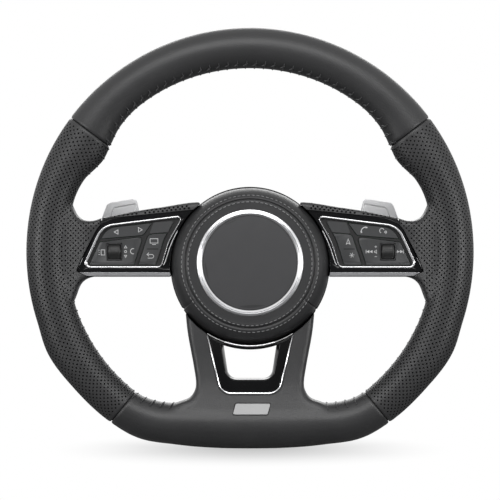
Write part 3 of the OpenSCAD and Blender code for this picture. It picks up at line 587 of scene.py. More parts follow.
def strip_seeds(piece, side, taken):
    """Two staggered rows of larger holes on the strip of leather above the pod."""
    tree = BVHTree.FromObject(piece, bpy.context.evaluated_depsgraph_get())
    found = []
    first, step, slope = 50.5, 1.8, 0.1065
    for k in range(44):
        x = first + step * k
        z = 35.8 - slope * (x - 39) + (3.3 if k % 2 else 1.5)
        start = Vector((side * x / 1000, -0.15, z / 1000))
        place, normal, face, distance = tree.ray_cast(start, Vector((0, 1, 0)))
        if place is None or math.hypot(x, z - HUB_WELL_Z) < HUB_WELL_R + 1.4:
            continue
        if all((place - other).length > 0.0026 for other, facing in taken):
            found.append((place, normal))
    return found


def inside(outline, x, z):
    hit = False
    for (x0, z0), (x1, z1) in zip(outline, outline[-1:] + outline[:-1]):
        if (z0 > z) != (z1 > z) and x < (x1 - x0) * (z - z0) / (z1 - z0) + x0:
            hit = not hit
    return hit


perforated_leather = leather_finish("perforated_leather", (0.021, 0.021, 0.0215),
                                    (0.034, 0.034, 0.035), 0.46)
# Hole walls: near black, painted shade inside the punched holes.
hole_painted_shade = grained("hole_wall_painted_shade", (0.001, 0.001, 0.001), (0.002, 0.002, 0.002), 1.0, 3000.0, 0.00002)
pocket_outline = rounded([(143.5, -16.4), (141.6, -16.9), (134.2, -20.9), (39, -20.9), (39, 35.8),
                          (122.6, 26.9), (140.2, -7.5)], [0.6, 0, 3, 0, 0, 22, 30])
window_outline = rounded([(WING_END, -21), (39, -21), (39, 35.5), (WING_END, 27.3)], [0, 0, 0, 0])
hole_limit = rounded([(145.2, -15), (142.6, -22.3), (39, -22.3), (39, 41.6), (123.8, 28.5), (141.9, -7.5)],
                     [1, 1, 0, 0, 24, 31])
punched = punch_tree()


def near_edge(place, side):
    x, z = side * place.x * 1000, place.z * 1000
    a = math.degrees(math.atan2(x, z))
    r = math.hypot(x, z)
    margin = math.degrees(3 / r)
    if r > 118 and (a < UPPER_SEAM + margin or a > LOWER_SEAM - margin):
        return True
    if math.hypot(x, z - HUB_WELL_Z) < HUB_WELL_R + 1.6:
        return True
    return inside([tuple(p) for p in hole_limit], x, z)


for name, side in SIDES:
    grip = solid("grip_leather_" + name, [rim_sweep(UPPER_SEAM - 3, LOWER_SEAM + 3), spoke_form()], side)
    draw_tight(grip)
    relax(grip, 14, lambda x, y, z: 0.5 * np.clip(1 - abs(np.hypot(x, z) - 143) / 16, 0, 1)
          * (abs(z) < 62))
    roll_end(grip, UPPER_SEAM, 1, side)
    roll_end(grip, LOWER_SEAM, -1, side)
    cut(grip, prism(pocket_outline, -60, FLOOR_BACK), side)
    cut(grip, through(window_outline), side)
    cut(grip, through(circle(0, HUB_WELL_Z, HUB_WELL_R)), side)
    grip.data.materials.append(perforated_leather)
    seeds = grip_seeds(grip, side)
    for spots, width in ((seeds, HOLE_D), (strip_seeds(grip, side, seeds), STRIP_HOLE_D)):
        holes = point_piece("hole_seeds", [p for p, n in spots], [n for p, n in spots])
        grow(grip, punched, {"Seeds": holes, "Diameter": width / 1000, "Depth": HOLE_DEPTH / 1000,
                             "Inside": hole_painted_shade, "Leather": perforated_leather})
        bpy.data.objects.remove(holes)
    grip.data.shade_smooth()
    sharpen(grip, 50)
    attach(grip, "root")
    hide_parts("leather_grip_" + name)


# Rim leather, bottom section
# Smooth leather over the flat bottom and both lower spokes in one piece, cut out for the gloss
# moulding in the opening and for the airbag.
PANEL_HALF = [(-146, 84), (-132, 70), (-124, 59.5), (-121.5, 51), (-117, 46.8), (-109.7, 44.5),
              (-96, 46.2), (-83, 48.6), (-69, 51.2), (-58, 52.6), (-44, 53.5)]
PANEL_FRONT = [(-146, -13.5), (-130, -11.5), (-120, -9), (-105, -6), (-80, -3.4), (-44, -1.6)]
PANEL_BACK = [(-146, 12.5), (-130, 13.5), (-105, 14), (-82, 17), (-66, 24), (-44, 25)]


def panel_form():
    rings = []
    for i in range(69):
        z = -146 + 1.5 * i
        half = curve(PANEL_HALF, z)
        box = round_box(-half, half, curve(PANEL_FRONT, z), curve(PANEL_BACK, z), 5)
        rings.append([(p[0], p[1], z) for p in box])
    return loft(rings)


bottom_leather = solid("bottom_leather", [rim_sweep(LOWER_SEAM - 3, 363 - LOWER_SEAM), panel_form()])
draw_tight(bottom_leather)
relax(bottom_leather, 18, lambda x, y, z: 0.5 * np.clip(1 - abs(z + 126) / 18, 0, 1) * (x < 90))
roll_end(bottom_leather, LOWER_SEAM, 1)
roll_end(bottom_leather, 360 - LOWER_SEAM, -1)
opening_outline = rounded([(42.7, -40), (25.2, -118.2), (-25.2, -118.2), (-42.7, -40)], [0, 12, 12, 0])
cut(bottom_leather, through(opening_outline))
cut(bottom_leather, through(circle(0, HUB_WELL_Z, HUB_WELL_R)))
bottom_leather.data.shade_smooth()
sharpen(bottom_leather, 50)
fit(bottom_leather, smooth_leather, "root", "smooth_leather", "leather_bottom")


# Lacing of the rim
# The leather's long edges meet along the inside of the rim and are drawn together by hand with
# slanted stitches of waxed black thread, which press a small dent where they enter.
def sewn_tree():
    """Stitches at an even pitch along a chain of points, standing on the way it faces."""
    tree, add, given = new_tree("sewn_row", [
        ("Stitch", "Object"), ("Pitch", "Float"), ("Thread", "Material")])
    path = add("GeometryNodeMeshToCurve", {}, {"Mesh": given["Geometry"]})
    spots = add("GeometryNodeResampleCurve", {"mode": "LENGTH"},
                {"Curve": path, "Length": given["Pitch"]})
    stitch = add("GeometryNodeObjectInfo", {}, {"Object": given["Stitch"]})
    real = stand_on(add, spots, stitch, True)
    done = add("GeometryNodeSetMaterial", {}, {"Geometry": real, "Material": given["Thread"]})
    add("NodeGroupOutput", {}, {0: done})
    return tree


def thread_piece(name, path, radius, sides=6):
    """A short thread along points in mm round the origin, thinner at its ends."""
    rings = []
    for i, p in enumerate(path):
        ahead = Vector(path[min(i + 1, len(path) - 1)]) - Vector(path[max(i - 1, 0)])
        turn = ahead.to_track_quat("Z", "Y")
        share = radius * (0.55 if i in (0, len(path) - 1) else 1)
        rings.append([Vector(p) + Vector((0, DISH, 0)) + turn @ Vector((share * u, share * v, 0))
                      for u, v in circle(0, 0, 1, sides)])
    return solid(name, [loft(rings)])


def sew(name, places, ways, stitch, pitch, thread, body):
    """A row of stitches through points in metres, in a thread of one colour."""
    row = point_piece(name, places, ways, chain=True)
    grow(row, sewn, {"Stitch": stitch, "Pitch": pitch, "Thread": thread})
    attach(row, body)


LACE_PITCH = 0.0074
sewn = sewn_tree()
black_thread = grained("black_thread", (0.018, 0.018, 0.019), (0.07, 0.07, 0.072), 0.5, 2600.0, 0.0002,
                       stretch=(1, 3, 1))
lace_path = []
for i in range(9):
    t = math.radians(-52 + 13 * i)
    lace_path.append((2.6 * (i / 8 - 0.5), 14.8 * math.sin(t), 13.8 * math.cos(t) - 13.7))
lace = thread_piece("lace_stitch", lace_path, 0.45)
# A lighter short dash over part of each top stitch: painted highlight on the black thread.
front = []
for k in (-1, -0.5, 0, 0.5, 1):
    t = math.radians(32 + 5.5 * k)
    front.append((1.8 * k, 15.2 * math.sin(t), 16.9 * math.cos(t) - 16.7))
lace_end = thread_piece("lace_end", front, 0.4)
painted_highlight_thread = grained("painted_highlight_thread", (0.06, 0.06, 0.062), (0.13, 0.13, 0.132), 0.5, 3000.0, 0.0002)
for name, start, end in (("top", -52.4, 52.4), ("left_upper", -64, -54), ("right_upper", 54, 64),
                         ("left_lower", -140, -103), ("right_lower", 103, 140),
                         ("bottom_left", -159, -141.6), ("bottom_right", 141.6, 159)):
    places, ways = [], []
    for i in range(81):
        x, y, z = rim_point(start + (end - start) * i / 80, 180)
        places.append((x / 1000, (y - DISH) / 1000, z / 1000))
        ways.append(Vector((-x, 0, -z)).normalized())
    sew("lacing_" + name, places, ways, lace, LACE_PITCH, black_thread, "root")
    # The top stitches also get their painted highlight dashes.
    if name == "top":
        sew("lacing_ends_top", places, ways, lace_end, LACE_PITCH, painted_highlight_thread, "root")
for stitch in (lace, lace_end):
    bpy.data.objects.remove(stitch)


# Rear cover
# The injection-moulded bowl behind the hub with a wing behind each side spoke, in black grained
# plastic, held by four recessed screws.
def dress(node, material, slot, round_off=0.3, angle=32):
    """A CAD node made again with its flat faces whole and its edges rounded."""
    source = frame["nodes"][node]
    skin = bmesh.new()
    skin.from_mesh(source.data)
    bmesh.ops.remove_doubles(skin, verts=skin.verts, dist=1e-6)
    bmesh.ops.dissolve_limit(skin, angle_limit=math.radians(1.5), verts=skin.verts,
                             edges=skin.edges)
    mesh = bpy.data.meshes.new("dressed")
    skin.to_mesh(mesh)
    skin.free()
    piece = new_piece(node + "_finished", mesh)
    if round_off:
        edge = piece.modifiers.new("round", "BEVEL")
        edge.width = round_off / 1000
        edge.segments = 2
        edge.limit_method = "ANGLE"
        edge.angle_limit = math.radians(angle)
        edge.use_clamp_overlap = False
        edge.harden_normals = True
        settle(piece)
    piece.data.shade_smooth()
    sharpen(piece, angle)
    even = piece.modifiers.new("even", "WEIGHTED_NORMAL")
    even.keep_sharp = True
    settle(piece)
    fit(piece, material, source["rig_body"], slot, node)
    return piece


rear_plastic = grained("rear_plastic", (0.018, 0.018, 0.019), (0.028, 0.028, 0.029), 0.55, 1500.0, 0.00015)
steel = grained("zinced_steel", (0.45, 0.45, 0.46), (0.6, 0.6, 0.61), 0.35, 900.0, 0.00003, 1.0)
dress("rear_cover", rear_plastic, "rear_plastic", 0.6)
give(frame["nodes"]["rear_cover_screws"], steel)


# Gear paddles
# A satin alloy blade on a plastic lever behind each side spoke. The lever turns on a steel pin
# in a moulded bracket, and the blade is pulled towards the driver. Its tip is drawn out a little.
black_plastic = grained("black_plastic", (0.012, 0.012, 0.013), (0.02, 0.02, 0.021), 0.5, 2200.0, 0.00008)
paddle_alloy = grained("paddle_alloy", (0.66, 0.66, 0.665), (0.74, 0.74, 0.745), 0.36, 500.0, 0.00002, 0.1,
                       stretch=(1, 1, 9))
TIP_DRAWN, TIP_FROM, TIP_OVER = 0.0024, 0.016, 0.01
for name in ("left", "right"):
    blade = dress("paddle_blade_" + name, paddle_alloy, "paddle_alloy", 0.7)
    tip = max(v.co.z for v in blade.data.vertices)
    for v in blade.data.vertices:
        v.co.z += TIP_DRAWN * min(max((v.co.z - tip + TIP_FROM) / TIP_OVER, 0), 1)
    dress("paddle_lever_" + name, black_plastic, "black_plastic")
    give(frame["nodes"]["paddle_bracket_" + name], black_plastic)
    give(frame["nodes"]["paddle_pin_" + name], steel)


# Switch housings
# Each pod is a black moulded tray clipped into the spoke. It carries the keys' pivots and the
# green circuit board with its rubber domes.
board_green = grained("circuit_board", (0.01, 0.05, 0.02), (0.02, 0.09, 0.035), 0.4, 700.0, 0.00004)
for name in ("left", "right"):
    give(frame["nodes"]["switch_housing_" + name], black_plastic)
    give(frame["nodes"]["switch_board_" + name], board_green)


# Spoke trim and satin strip
# Piano-black mouldings, lacquered and polished, fill each side spoke from the leather to the
# hub. A satin strip is let into the lower edge.
def polished(name, dark, light, roughness, metallic=0.0, specular=0.5):
    material, spot = start_material(name)
    clouds = spot.node("TexNoise", {}, {"Vector": spot, "Scale": 25.0, "Detail": 3.0})
    ripple = spot.node("TexNoise", {}, {"Vector": spot, "Scale": 180.0, "Detail": 1.0})
    bump = spot.node("Bump", {}, {"Strength": 0.03, "Distance": 0.00004, "Height": ripple})
    return end_material(material, {
        "Base Color": tone(spot, dark, light, clouds),
        "Roughness": roughness + clouds * 0.03,
        "Metallic": metallic,
        "Specular IOR Level": specular,
        "Normal": bump,
    })


gloss_black = polished("gloss_black", (0.003, 0.003, 0.0035), (0.006, 0.006, 0.0065), 0.06, specular=0.25)
satin_silver = grained("satin_silver", (0.42, 0.42, 0.43), (0.54, 0.54, 0.55), 0.34, 400.0, 0.00001, 1.0,
                       stretch=(1, 1, 12))
trims = {}
for name, side in SIDES:
    trims[name] = dress("spoke_trim_" + name, gloss_black, "gloss_black", 0.35)
    cut(trims[name], through([(39, 50), (39, 35.5), (122.6, 26.6), (122.6, 50)]), side)
    sharpen(trims[name], 35)
    dress("spoke_strip_" + name, satin_silver, "satin_silver", 0.2)


# Bright frames and key fascias
# A chromed frame lines each pod, and a moulded fascia inside it shows as fine ribs
# between the keys. The fascia is coloured near black, painted shade in the gaps between the keys
# and in the recess beside the hub.
def front_of(piece):
    """A function that gives the depth of a piece's front face at any x and z, all in mm."""
    tree = BVHTree.FromObject(piece, bpy.context.evaluated_depsgraph_get())

    def depth(x, z):
        start = Vector((x / 1000, -0.2, z / 1000))
        return tree.ray_cast(start, Vector((0, 1, 0)))[0].y * 1000 + DISH

    return depth


bright_chrome = polished("bright_chrome", (0.82, 0.82, 0.83), (0.9, 0.9, 0.91), 0.22, metallic=1.0)
key_plastic = grained("key_plastic", (0.034, 0.035, 0.036), (0.046, 0.047, 0.048), 0.48, 3000.0, 0.00004)
# Fascia colour: near black, painted shade in the gaps and recesses round the keys.
fascia_painted_shade = grained("fascia_painted_shade", (0.006, 0.006, 0.006), (0.010, 0.010, 0.010), 0.45, 2200.0, 0.00004)
fascias = {}
FRAME_OUTER = rounded([(139.2, -13.4), (73.4, -13.4), (66.9, 8.2), (54.2, 30.5), (122.8, 22.1)],
                      [4.5, 5, 40, 3.3, 17.5], 5)
FRAME_W, FRAME_SHIFT = 1.5, 0.7
CROWN = [(0, 4.0), (0, 0.35), (0.12, 0.1), (0.3, -0.08), (0.5, -0.15), (0.7, -0.08), (0.88, 0.1),
         (1, 0.35), (1, 4.0)]
for name, side in SIDES:
    face = front_of(frame["nodes"]["bezel_" + name])(side * 100, -12.7)
    pairs = []
    for i, spot in enumerate(FRAME_OUTER):
        ahead = (FRAME_OUTER[(i + 1) % len(FRAME_OUTER)] - FRAME_OUTER[i - 1]).normalized()
        inner = spot + Vector((ahead.y, -ahead.x)) * FRAME_W - Vector((FRAME_SHIFT, 0))
        pairs.append((spot, inner))
    rings = [[(a.x + (b.x - a.x) * u, face + y, a.y + (b.y - a.y) * u) for a, b in pairs]
             for u, y in CROWN]
    bezel = solid("bright_frame_" + name, [loft(rings, closed=True)], side)
    sharpen(bezel, 60)
    fit(bezel, bright_chrome, "root", "bright_trim", "bezel_" + name)
    fascias[name] = dress("switch_fascia_" + name, fascia_painted_shade, "key_plastic", 0)


# Bright lines on the trim
# Thin pale strokes, partly chromed lines and partly painted highlight on the trim's step and bevel,
# run beside each bright frame on the side of the hub and along the trim's outer lower corner. A plain plate
# fills the pod's upper inner corner.
PIXEL = 0.826
SIGN_TOP, SIGN_FOOT = -0.05, 0.1


def photo(px, py):
    """Where a point of the photograph lies on the wheel, in mm."""
    return ((px - 250) * PIXEL, (251.8 - py) * PIXEL)


def stroke(points, width, closed=False):
    """A flat line of even width through points, as a thin plate in mm."""
    count = len(points)
    left, right = [], []
    for i in range(count):
        if closed:
            before, after = Vector(points[i - 1]), Vector(points[(i + 1) % count])
        else:
            before = Vector(points[max(i - 1, 0)])
            after = Vector(points[min(i + 1, count - 1)])
        here = Vector(points[i])
        first = (here - before).normalized() if (here - before).length else (after - here).normalized()
        last = (after - here).normalized() if (after - here).length else first
        bend = (first + last).normalized()
        across = Vector((-bend.y, bend.x)) * width / 2 / max(0.4, bend.dot(first))
        left.append(here + across)
        right.append(here - across)
    rings = [[(a.x, SIGN_TOP, a.y), (b.x, SIGN_TOP, b.y), (b.x, SIGN_FOOT, b.y), (a.x, SIGN_FOOT, a.y)]
             for a, b in zip(left, right)]
    return loft(rings, closed)


def lay_on(piece, under):
    """Lower flat forms drawn at depth 0 on to the front of another piece."""
    below = BVHTree.FromObject(under, bpy.context.evaluated_depsgraph_get())
    for corner in piece.data.vertices:
        height = corner.co.y + DISH / 1000
        place = below.ray_cast(Vector((corner.co.x, -0.2, corner.co.z)), Vector((0, 1, 0)))[0]
        if place is not None:
            corner.co.y = place.y + height
    piece.data.shade_flat()


for name, side in (("left", 1), ("right", -1)):
    beside = [(177.6, 230.8), (176.3, 233), (172.6, 240.5), (169.3, 248.5), (167, 256), (165, 262),
              (163.4, 265)]
    corner_line = [(78.3, 268.3), (80.3, 263.5), (83.2, 257.6)]
    forms = []
    # Pale strokes: partly chromed line, partly painted highlight on the trim's step and bevel.
    for spots, width in ((beside, 0.55), (corner_line, 0.35)):
        forms.append(stroke([(side * x, z) for x, z in [photo(*spot) for spot in spots]], width))
    line = solid("bright_line_" + name, forms)
    lay_on(line, trims[name])
    fit(line, paddle_alloy, "root", "bright_trim")
    corners = [photo(*p) for p in ((153.6, 222.6), (173.6, 220.9), (167.9, 231.9), (149.3, 233.6))]
    blank = solid("blank_plate_" + name, [prism(rounded(corners, [1, 1, 1, 1], 15), -0.3, 0.15)], side)
    lay_on(blank, fascias[name])
    fit(blank, key_plastic, "root", "key_plastic")


# Keys
# Each pod has a rocker, a two-function key and a pad round the thumb roller, in dark soft-touch
# plastic. Each rocks on its own pivots. The lower edges of two of them slope away, and a thin
# rim stands round the roller's window.
ROLLER_X = {"left": 112.1, "right": 114.0}
lip = loft([[(x, -1.5, -4.9), (x, -3, -4.9), (x, -3, -12.5), (x, 2.54, -12.5)] for x in (60, 142)])
keys = {}
for name, side in SIDES:
    for key in ("rocker_key_", "mode_key_", "roller_pad_"):
        keys[key + name] = dress(key + name, key_plastic, "key_plastic")
        if key != "rocker_key_":
            cut(keys[key + name], lip, side)
            sharpen(keys[key + name], 32)
    rows = []
    for grow_by, depth in ((0.9, 0.75), (0, 0.75), (0, 1.35), (0.9, 1.35)):
        ring = round_box(-5.65 - grow_by, 5.65 + grow_by, -6.1 - grow_by, 6.1 + grow_by, 1.2 + grow_by)
        rows.append([(ROLLER_X[name] + x, depth, z) for x, z in ring])
    rim = solid("window_rim_" + name, [loft(rows, closed=True)], side)
    fit(rim, black_plastic, "roller_pad_" + name, "key_plastic")


# Signs on the keys
# Pale signs printed on the keys' plastic, most of them in strokes of one width. A dark flat
# stroke, painted shade standing for a groove, parts the two halves of each two-function key.
sign_white = grained("sign_paint", (0.5, 0.5, 0.5), (0.6, 0.6, 0.6), 0.5, 2500.0, 0.00001)


def arc(x, z, r, start, end, steps=10):
    return [(x + r * math.cos(math.radians(start + (end - start) * k / steps)),
             z + r * math.sin(math.radians(start + (end - start) * k / steps))) for k in range(steps + 1)]


def triangle(size, turn, x=0.0, z=0.0):
    return arc(x, z, size, turn, turn + 240, 2)


def sign(name, key, lines, paint=sign_white):
    """A sign on a key, round its point of the photograph. Each line is its points in mm, its
    width, or 0 for a filled form, and whether it closes."""
    x, z = photo(*SIGN_AT[name])
    forms = []
    for points, width, *closed in lines:
        points = [(x + u, z + v) for u, v in points]
        forms.append(stroke(points, width, *closed) if width else prism(points, SIGN_TOP, SIGN_FOOT))
    piece = solid(name, forms)
    lay_on(piece, keys[key])
    fit(piece, paint, key, "key_plastic")


LINE = 0.5
SIGN_AT = {
    "sign_previous": (116.7, 232), "sign_next": (139.7, 229.8), "sign_screen": (154, 241),
    "sign_return": (150.4, 255.8), "sign_list": (101.8, 252.4), "sign_speech": (132.4, 251.2),
    "sign_up_down": (125.5, 251.6), "sign_handset": (363.4, 228.8), "sign_voice": (383, 231),
    "sign_route": (348.2, 241.8), "sign_star": (351.8, 255.2), "sign_volume": (375.9, 251.7),
    "divider_left": (152.5, 249), "divider_right": (349.2, 249), "sign_back_track": (369.6, 251.6),
    "sign_next_track": (400, 251.6),
}
sign("sign_previous", "rocker_key_left", [(triangle(2.1, 180), LINE, True)])
sign("sign_next", "rocker_key_left", [(triangle(2.1, 0), LINE, True)])
sign("sign_screen", "mode_key_left",
     [([(-3.2, -1.7), (3.2, -1.7), (3.2, 1.9), (-3.2, 1.9)], LINE, True),
      ([(-1.6, -2.9), (1.6, -2.9)], LINE)])
# Divider: a flat dark stroke, painted shade standing for the groove.
divider_painted_shade = grained("divider_painted_shade", (0.010, 0.010, 0.010), (0.014, 0.014, 0.014), 0.7, 2500.0, 0.00001)
for name in ("left", "right"):
    sign("divider_" + name, "mode_key_" + name, [([(-4.7, 0), (4.7, 0)], 1.1)], divider_painted_shade)
sign("sign_return", "mode_key_left",
     [([(-2.6, 1.1), (1.2, 1.1)] + arc(1.2, -0.4, 1.5, 90, -90) + [(-2.2, -1.9)], LINE),
      ([(-1.2, 2.5), (-2.9, 1.1), (-1.2, -0.3)], LINE)])
sign("sign_list", "roller_pad_left",
     [([(-2.6, z), (-1.9, z)], LINE) for z in (-1.8, 0, 1.8)]
     + [([(-0.6, -2.1), (2.4, -2.1), (2.4, 2.1), (-0.6, 2.1)], LINE, True)])
sign("sign_speech", "roller_pad_left", [(arc(0.6, 0, 2.2, 70, 290, 14), LINE)])
sign("sign_up_down", "roller_pad_left",
     [(triangle(1.2, 90, 0, 4.4 * PIXEL), 0.4, True), (triangle(1.2, 270, 0, -4.4 * PIXEL), 0.4, True),
      (arc(0, 0, 0.9, 0, 324, 9), 0.45, True)])
sign("sign_handset", "rocker_key_right",
     [(arc(2.2, -2.6, 4.1, 92, 178, 8), 0.7), ([(1.2, 1.5), (3.2, 1.0)], 1.2),
      ([(-1.9, -1.6), (-1.5, -3.4)], 1.2)])
sign("sign_voice", "rocker_key_right",
     [(arc(-0.9, 0.3, 1.9, 20, 250, 14), LINE), (arc(1.6, -0.9, 1.3, -70, 70, 6), LINE),
      (arc(1.6, -0.9, 0.35, 0, 300, 5), LINE, True)])
sign("sign_route", "mode_key_right",
     [([(-1.6, -2.0), (0, 2.3), (1.6, -2.0), (0, -1.0)], LINE, True)])
sign("sign_star", "mode_key_right",
     [(arc(0, 0, 2.2, a, a + 180, 1), 0.36) for a in (10, 70, 130)])
for label, turn, way in (("sign_back_track", 180, -1), ("sign_next_track", 0, 1)):
    sign(label, "roller_pad_right",
         [(triangle(1.55, turn, -2.0 * PIXEL * way), 0), (triangle(1.55, turn, 1.2 * PIXEL * way), 0),
          ([(2.9 * way, -1.4), (2.9 * way, 1.4)], 0.42)])
sign("sign_volume", "roller_pad_right",
     [([(-1, 4.1), (1, 4.1)], 0.42), ([(0, 3.1), (0, 5.1)], 0.42), ([(-1, -4), (1, -4)], 0.42),
      ([(-1.3, -0.5), (-1.3, 0.5), (-0.4, 0.5), (0.6, 1.4), (0.6, -1.4), (-0.4, -0.5)], 0.4, True)])


# Thumb rollers
# A finely ribbed black roller stands proud of each pad in a sprung carrier, so that it turns and
# presses.
RIB_DEEP = 0.1
roller_black = grained("roller_black", (0.007, 0.007, 0.007), (0.012, 0.012, 0.012), 0.4, 2500.0, 0.00006)
for name in ("left", "right"):
    source = frame["nodes"]["roller_" + name]
    corners = np.array([v.co for v in source.data.vertices]) * 1000
    low, high = corners.min(axis=0), corners.max(axis=0)
    middle, half, radius = (low + high) / 2, (high[0] - low[0]) / 2, (high[2] - low[2]) / 2
    rings = []
    for t in (-1, -0.97, -0.9, -0.8, -0.5, 0, 0.5, 0.8, 0.9, 0.97, 1):
        ring = []
        for k in range(192):
            a = math.radians(k * 360 / 192)
            rib = RIB_DEEP if k % 4 < 2 and abs(t) < 0.85 else 0
            r = radius - 9.9 * max(0, abs(t) - 0.8) ** 1.5 - rib
            ring.append((middle[0] + half * t, middle[1] + DISH + r * math.sin(a),
                         middle[2] + r * math.cos(a)))
        rings.append(ring)
    barrel = solid("barrel_" + name, [loft(rings)])
    sharpen(barrel, 50)
    fit(barrel, roller_black, source["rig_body"], "roller_black", "roller_" + name)
    give(frame["nodes"]["roller_cradle_" + name], black_plastic)
    give(frame["nodes"]["roller_axle_" + name], steel)


# Lower moulding
# A gloss black frame with bevelled inner walls closes the opening between the lower spokes, and
# a chromed line runs round it and under the airbag.
def turned(profile, z, angles):
    """Rings of a profile of radius and depth in mm, turned round an axis at height z."""
    return [[(r * math.cos(math.radians(a)), y, z + r * math.sin(math.radians(a))) for r, y in profile]
            for a in angles]


dress("lower_trim", gloss_black, "gloss_black", 0.5)
depth = front_of(frame["nodes"]["lower_trim_line"])
high, low = depth(33.1, -75), depth(0, -116.55)
run = rounded([(39.6, -50), (24.4, -117.4), (-24.4, -117.4), (-39.6, -50)], [0, 11.2, 11.2, 0], 4)
SHORT = 19.3
run[0] += (run[1] - run[0]).normalized() * SHORT
run[-1] += (run[-2] - run[-1]).normalized() * SHORT
rings = []
for i, spot in enumerate(run):
    ahead = (run[min(i + 1, len(run) - 1)] - run[max(i - 1, 0)]).normalized()
    face = high + (low - high) * (-75 - spot.y) / 41.55
    rings.append([(spot.x + w * ahead.y, face + y, spot.y - w * ahead.x) for w, y in
                  ((1.05, 1.6), (1.05, 0), (0.8, -0.3), (0, -0.42), (-0.8, -0.3), (-1.05, 0), (-1.05, 1.6))])
line = solid("opening_line", [loft(rings)])
fit(line, bright_chrome, "root", "bright_trim", "lower_trim_line")
ARCH = [(66.4, -2.4), (64.9, -2.4), (64.9, -4.2), (65.15, -4.7), (65.65, -4.85), (66.15, -4.7),
        (66.4, -4.2)]
arch_line = solid("arch_line", [loft(turned(ARCH, HUB_WELL_Z, [251.5 + k for k in range(38)]))])
fit(arch_line, bright_chrome, "root", "bright_trim")


# Small plate
# A plain plate of satin metal with rounded corners, in a thin gloss black edge, is glued to the
# leather of the flat bottom.
def plate_ring(inset, rise):
    """The plate's outline in mm, on the tilted plane where it lies on the leather."""
    points = rounded([(16.9 - inset, PLATE_TOP - inset), (-11.7 + inset, PLATE_TOP - inset),
                      (-14.2 + inset, PLATE_FOOT + inset), (14.4 - inset, PLATE_FOOT + inset)],
                     [1.2, 1.2, 1.2, 1.2], 15)
    slope = (PLATE_LOW - PLATE_HIGH) / (PLATE_TOP - PLATE_FOOT)
    return [(x, PLATE_HIGH + slope * (PLATE_TOP - z) - rise, z) for x, z in points]


PLATE_TOP, PLATE_FOOT = -124.6, -133.5
depth = front_of(bottom_leather)
PLATE_HIGH, PLATE_LOW = (min(depth(x, z) for x in (-12, 0, 14)) for z in (PLATE_TOP, PLATE_FOOT))
plate_metal = grained("plate_metal", (0.33, 0.33, 0.33), (0.38, 0.38, 0.38), 0.4, 900.0, 0.00001, 0.1)
plate = solid("small_plate", [loft([plate_ring(0, -1.2), plate_ring(0, 0.8), plate_ring(0.3, 1.05)])])
sharpen(plate, 25)
fit(plate, plate_metal, "root", "satin_silver", "badge_plate")
edge = solid("plate_edge", [loft([plate_ring(-0.55, -1.2), plate_ring(-0.55, 0.35),
                                  plate_ring(-0.3, 0.55)])])
fit(edge, gloss_black, "root", "gloss_black")


# Airbag parts
# Behind the cover lie the folded cushion, the gas generator on its back plate, and the three
# sprung guide pins on which the whole module floats to sound the horn.
cushion_fabric = grained("cushion_fabric", (0.55, 0.53, 0.48), (0.66, 0.64, 0.59), 0.8, 1400.0, 0.0003)
give(frame["nodes"]["airbag_cushion"], cushion_fabric)
for name in ("inflator", "airbag_backplate", "inflator_nuts", "horn_guide_pins"):
    give(frame["nodes"][name], steel)
springs = dress("horn_springs", steel, "steel", 0, 50)
low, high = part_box("horn_springs")
HORN_TRAVEL = 0.002
1 - HORN_TRAVEL / (high[1] - low[1])
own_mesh(springs)


# Airbag cover
# A soft moulded lid trimmed in leather. A seam with a row of stitches on each side runs round
# it, and two short seams cross the outer band at the lower left and right.
COVER_R, FACE_R, FACE_Y, SKIRT_Y = 65.4, 48.1, -11.0, 11.4
SEAM_R = 53.6
FACE_Z, COVER_Z = -9.0, -11.6
FLANGE_R = 65.95


def cover_rings():
    """Radius and depth along the cover, from the face out to the skirt."""
    rows = [(r, FACE_Y - 0.5 * (1 - (r / FACE_R) ** 2)) for r in (0.5, 12, 24, 34, 40, 43.9, 44.5, 46)]
    for i in range(61):
        t = math.radians(1.5 * i)
        rows.append((FACE_R + (COVER_R - FACE_R) * math.sin(t), FACE_Y + 18 * (1 - math.cos(t))))
    return rows + [(COVER_R, 9.0), (FLANGE_R, 9.4), (FLANGE_R, SKIRT_Y - 0.4), (COVER_R, SKIRT_Y),
                   (COVER_R - 2.6, SKIRT_Y)]


def cover_form():
    seams = (213, 327)
    angles = []
    a = 0.0
    while a < 360:
        angles.append(a)
        near = min(abs(a - seam) for seam in seams)
        a += 0.15 if near < 1.2 else 1.5
    rings = []
    for r, y in cover_rings():
        share = min(max((r - 46) / (COVER_R - 46), 0), 1)
        middle = FACE_Z + (COVER_Z - FACE_Z) * share * share * (3 - 2 * share)
        tall = 1 - 0.017 * share
        if r > COVER_R:
            middle, tall = HUB_WELL_Z, 1
        ring = []
        for a in angles:
            dip = 1.5 * math.exp(-((r - SEAM_R) / 0.55) ** 2) if y < 0 else 0
            puff = -0.35 * math.exp(-((abs(r - SEAM_R) - 2.2) / 1.3) ** 2) if y < 0 else 0
            if r > SEAM_R:
                for seam in seams:
                    off = (a - seam) * math.pi / 180 * r
                    dip = max(dip, 1.0 * math.exp(-(off / 0.42) ** 2))
            lean = min(max((r - FACE_R) / (COVER_R - FACE_R), 0), 1)
            out = r - dip * lean
            ring.append((out * math.cos(math.radians(a)),
                         y + (dip + puff) * math.sqrt(1 - lean * lean * 0.98),
                         middle + tall * out * math.sin(math.radians(a))))
        rings.append(ring)
    for r, y in ((COVER_R - 2.8, SKIRT_Y - 0.8), (COVER_R - 2.8, 0.0), (46.0, -7.6), (0.5, -7.6)):
        rings.append([(r * math.cos(math.radians(a)), y, COVER_Z + 0.983 * r * math.sin(math.radians(a)))
                      for a in angles])
    return loft(rings)


cover = solid("airbag_lid", [cover_form()])
fit(cover, smooth_leather, "airbag_module", "smooth_leather", "airbag_cover")

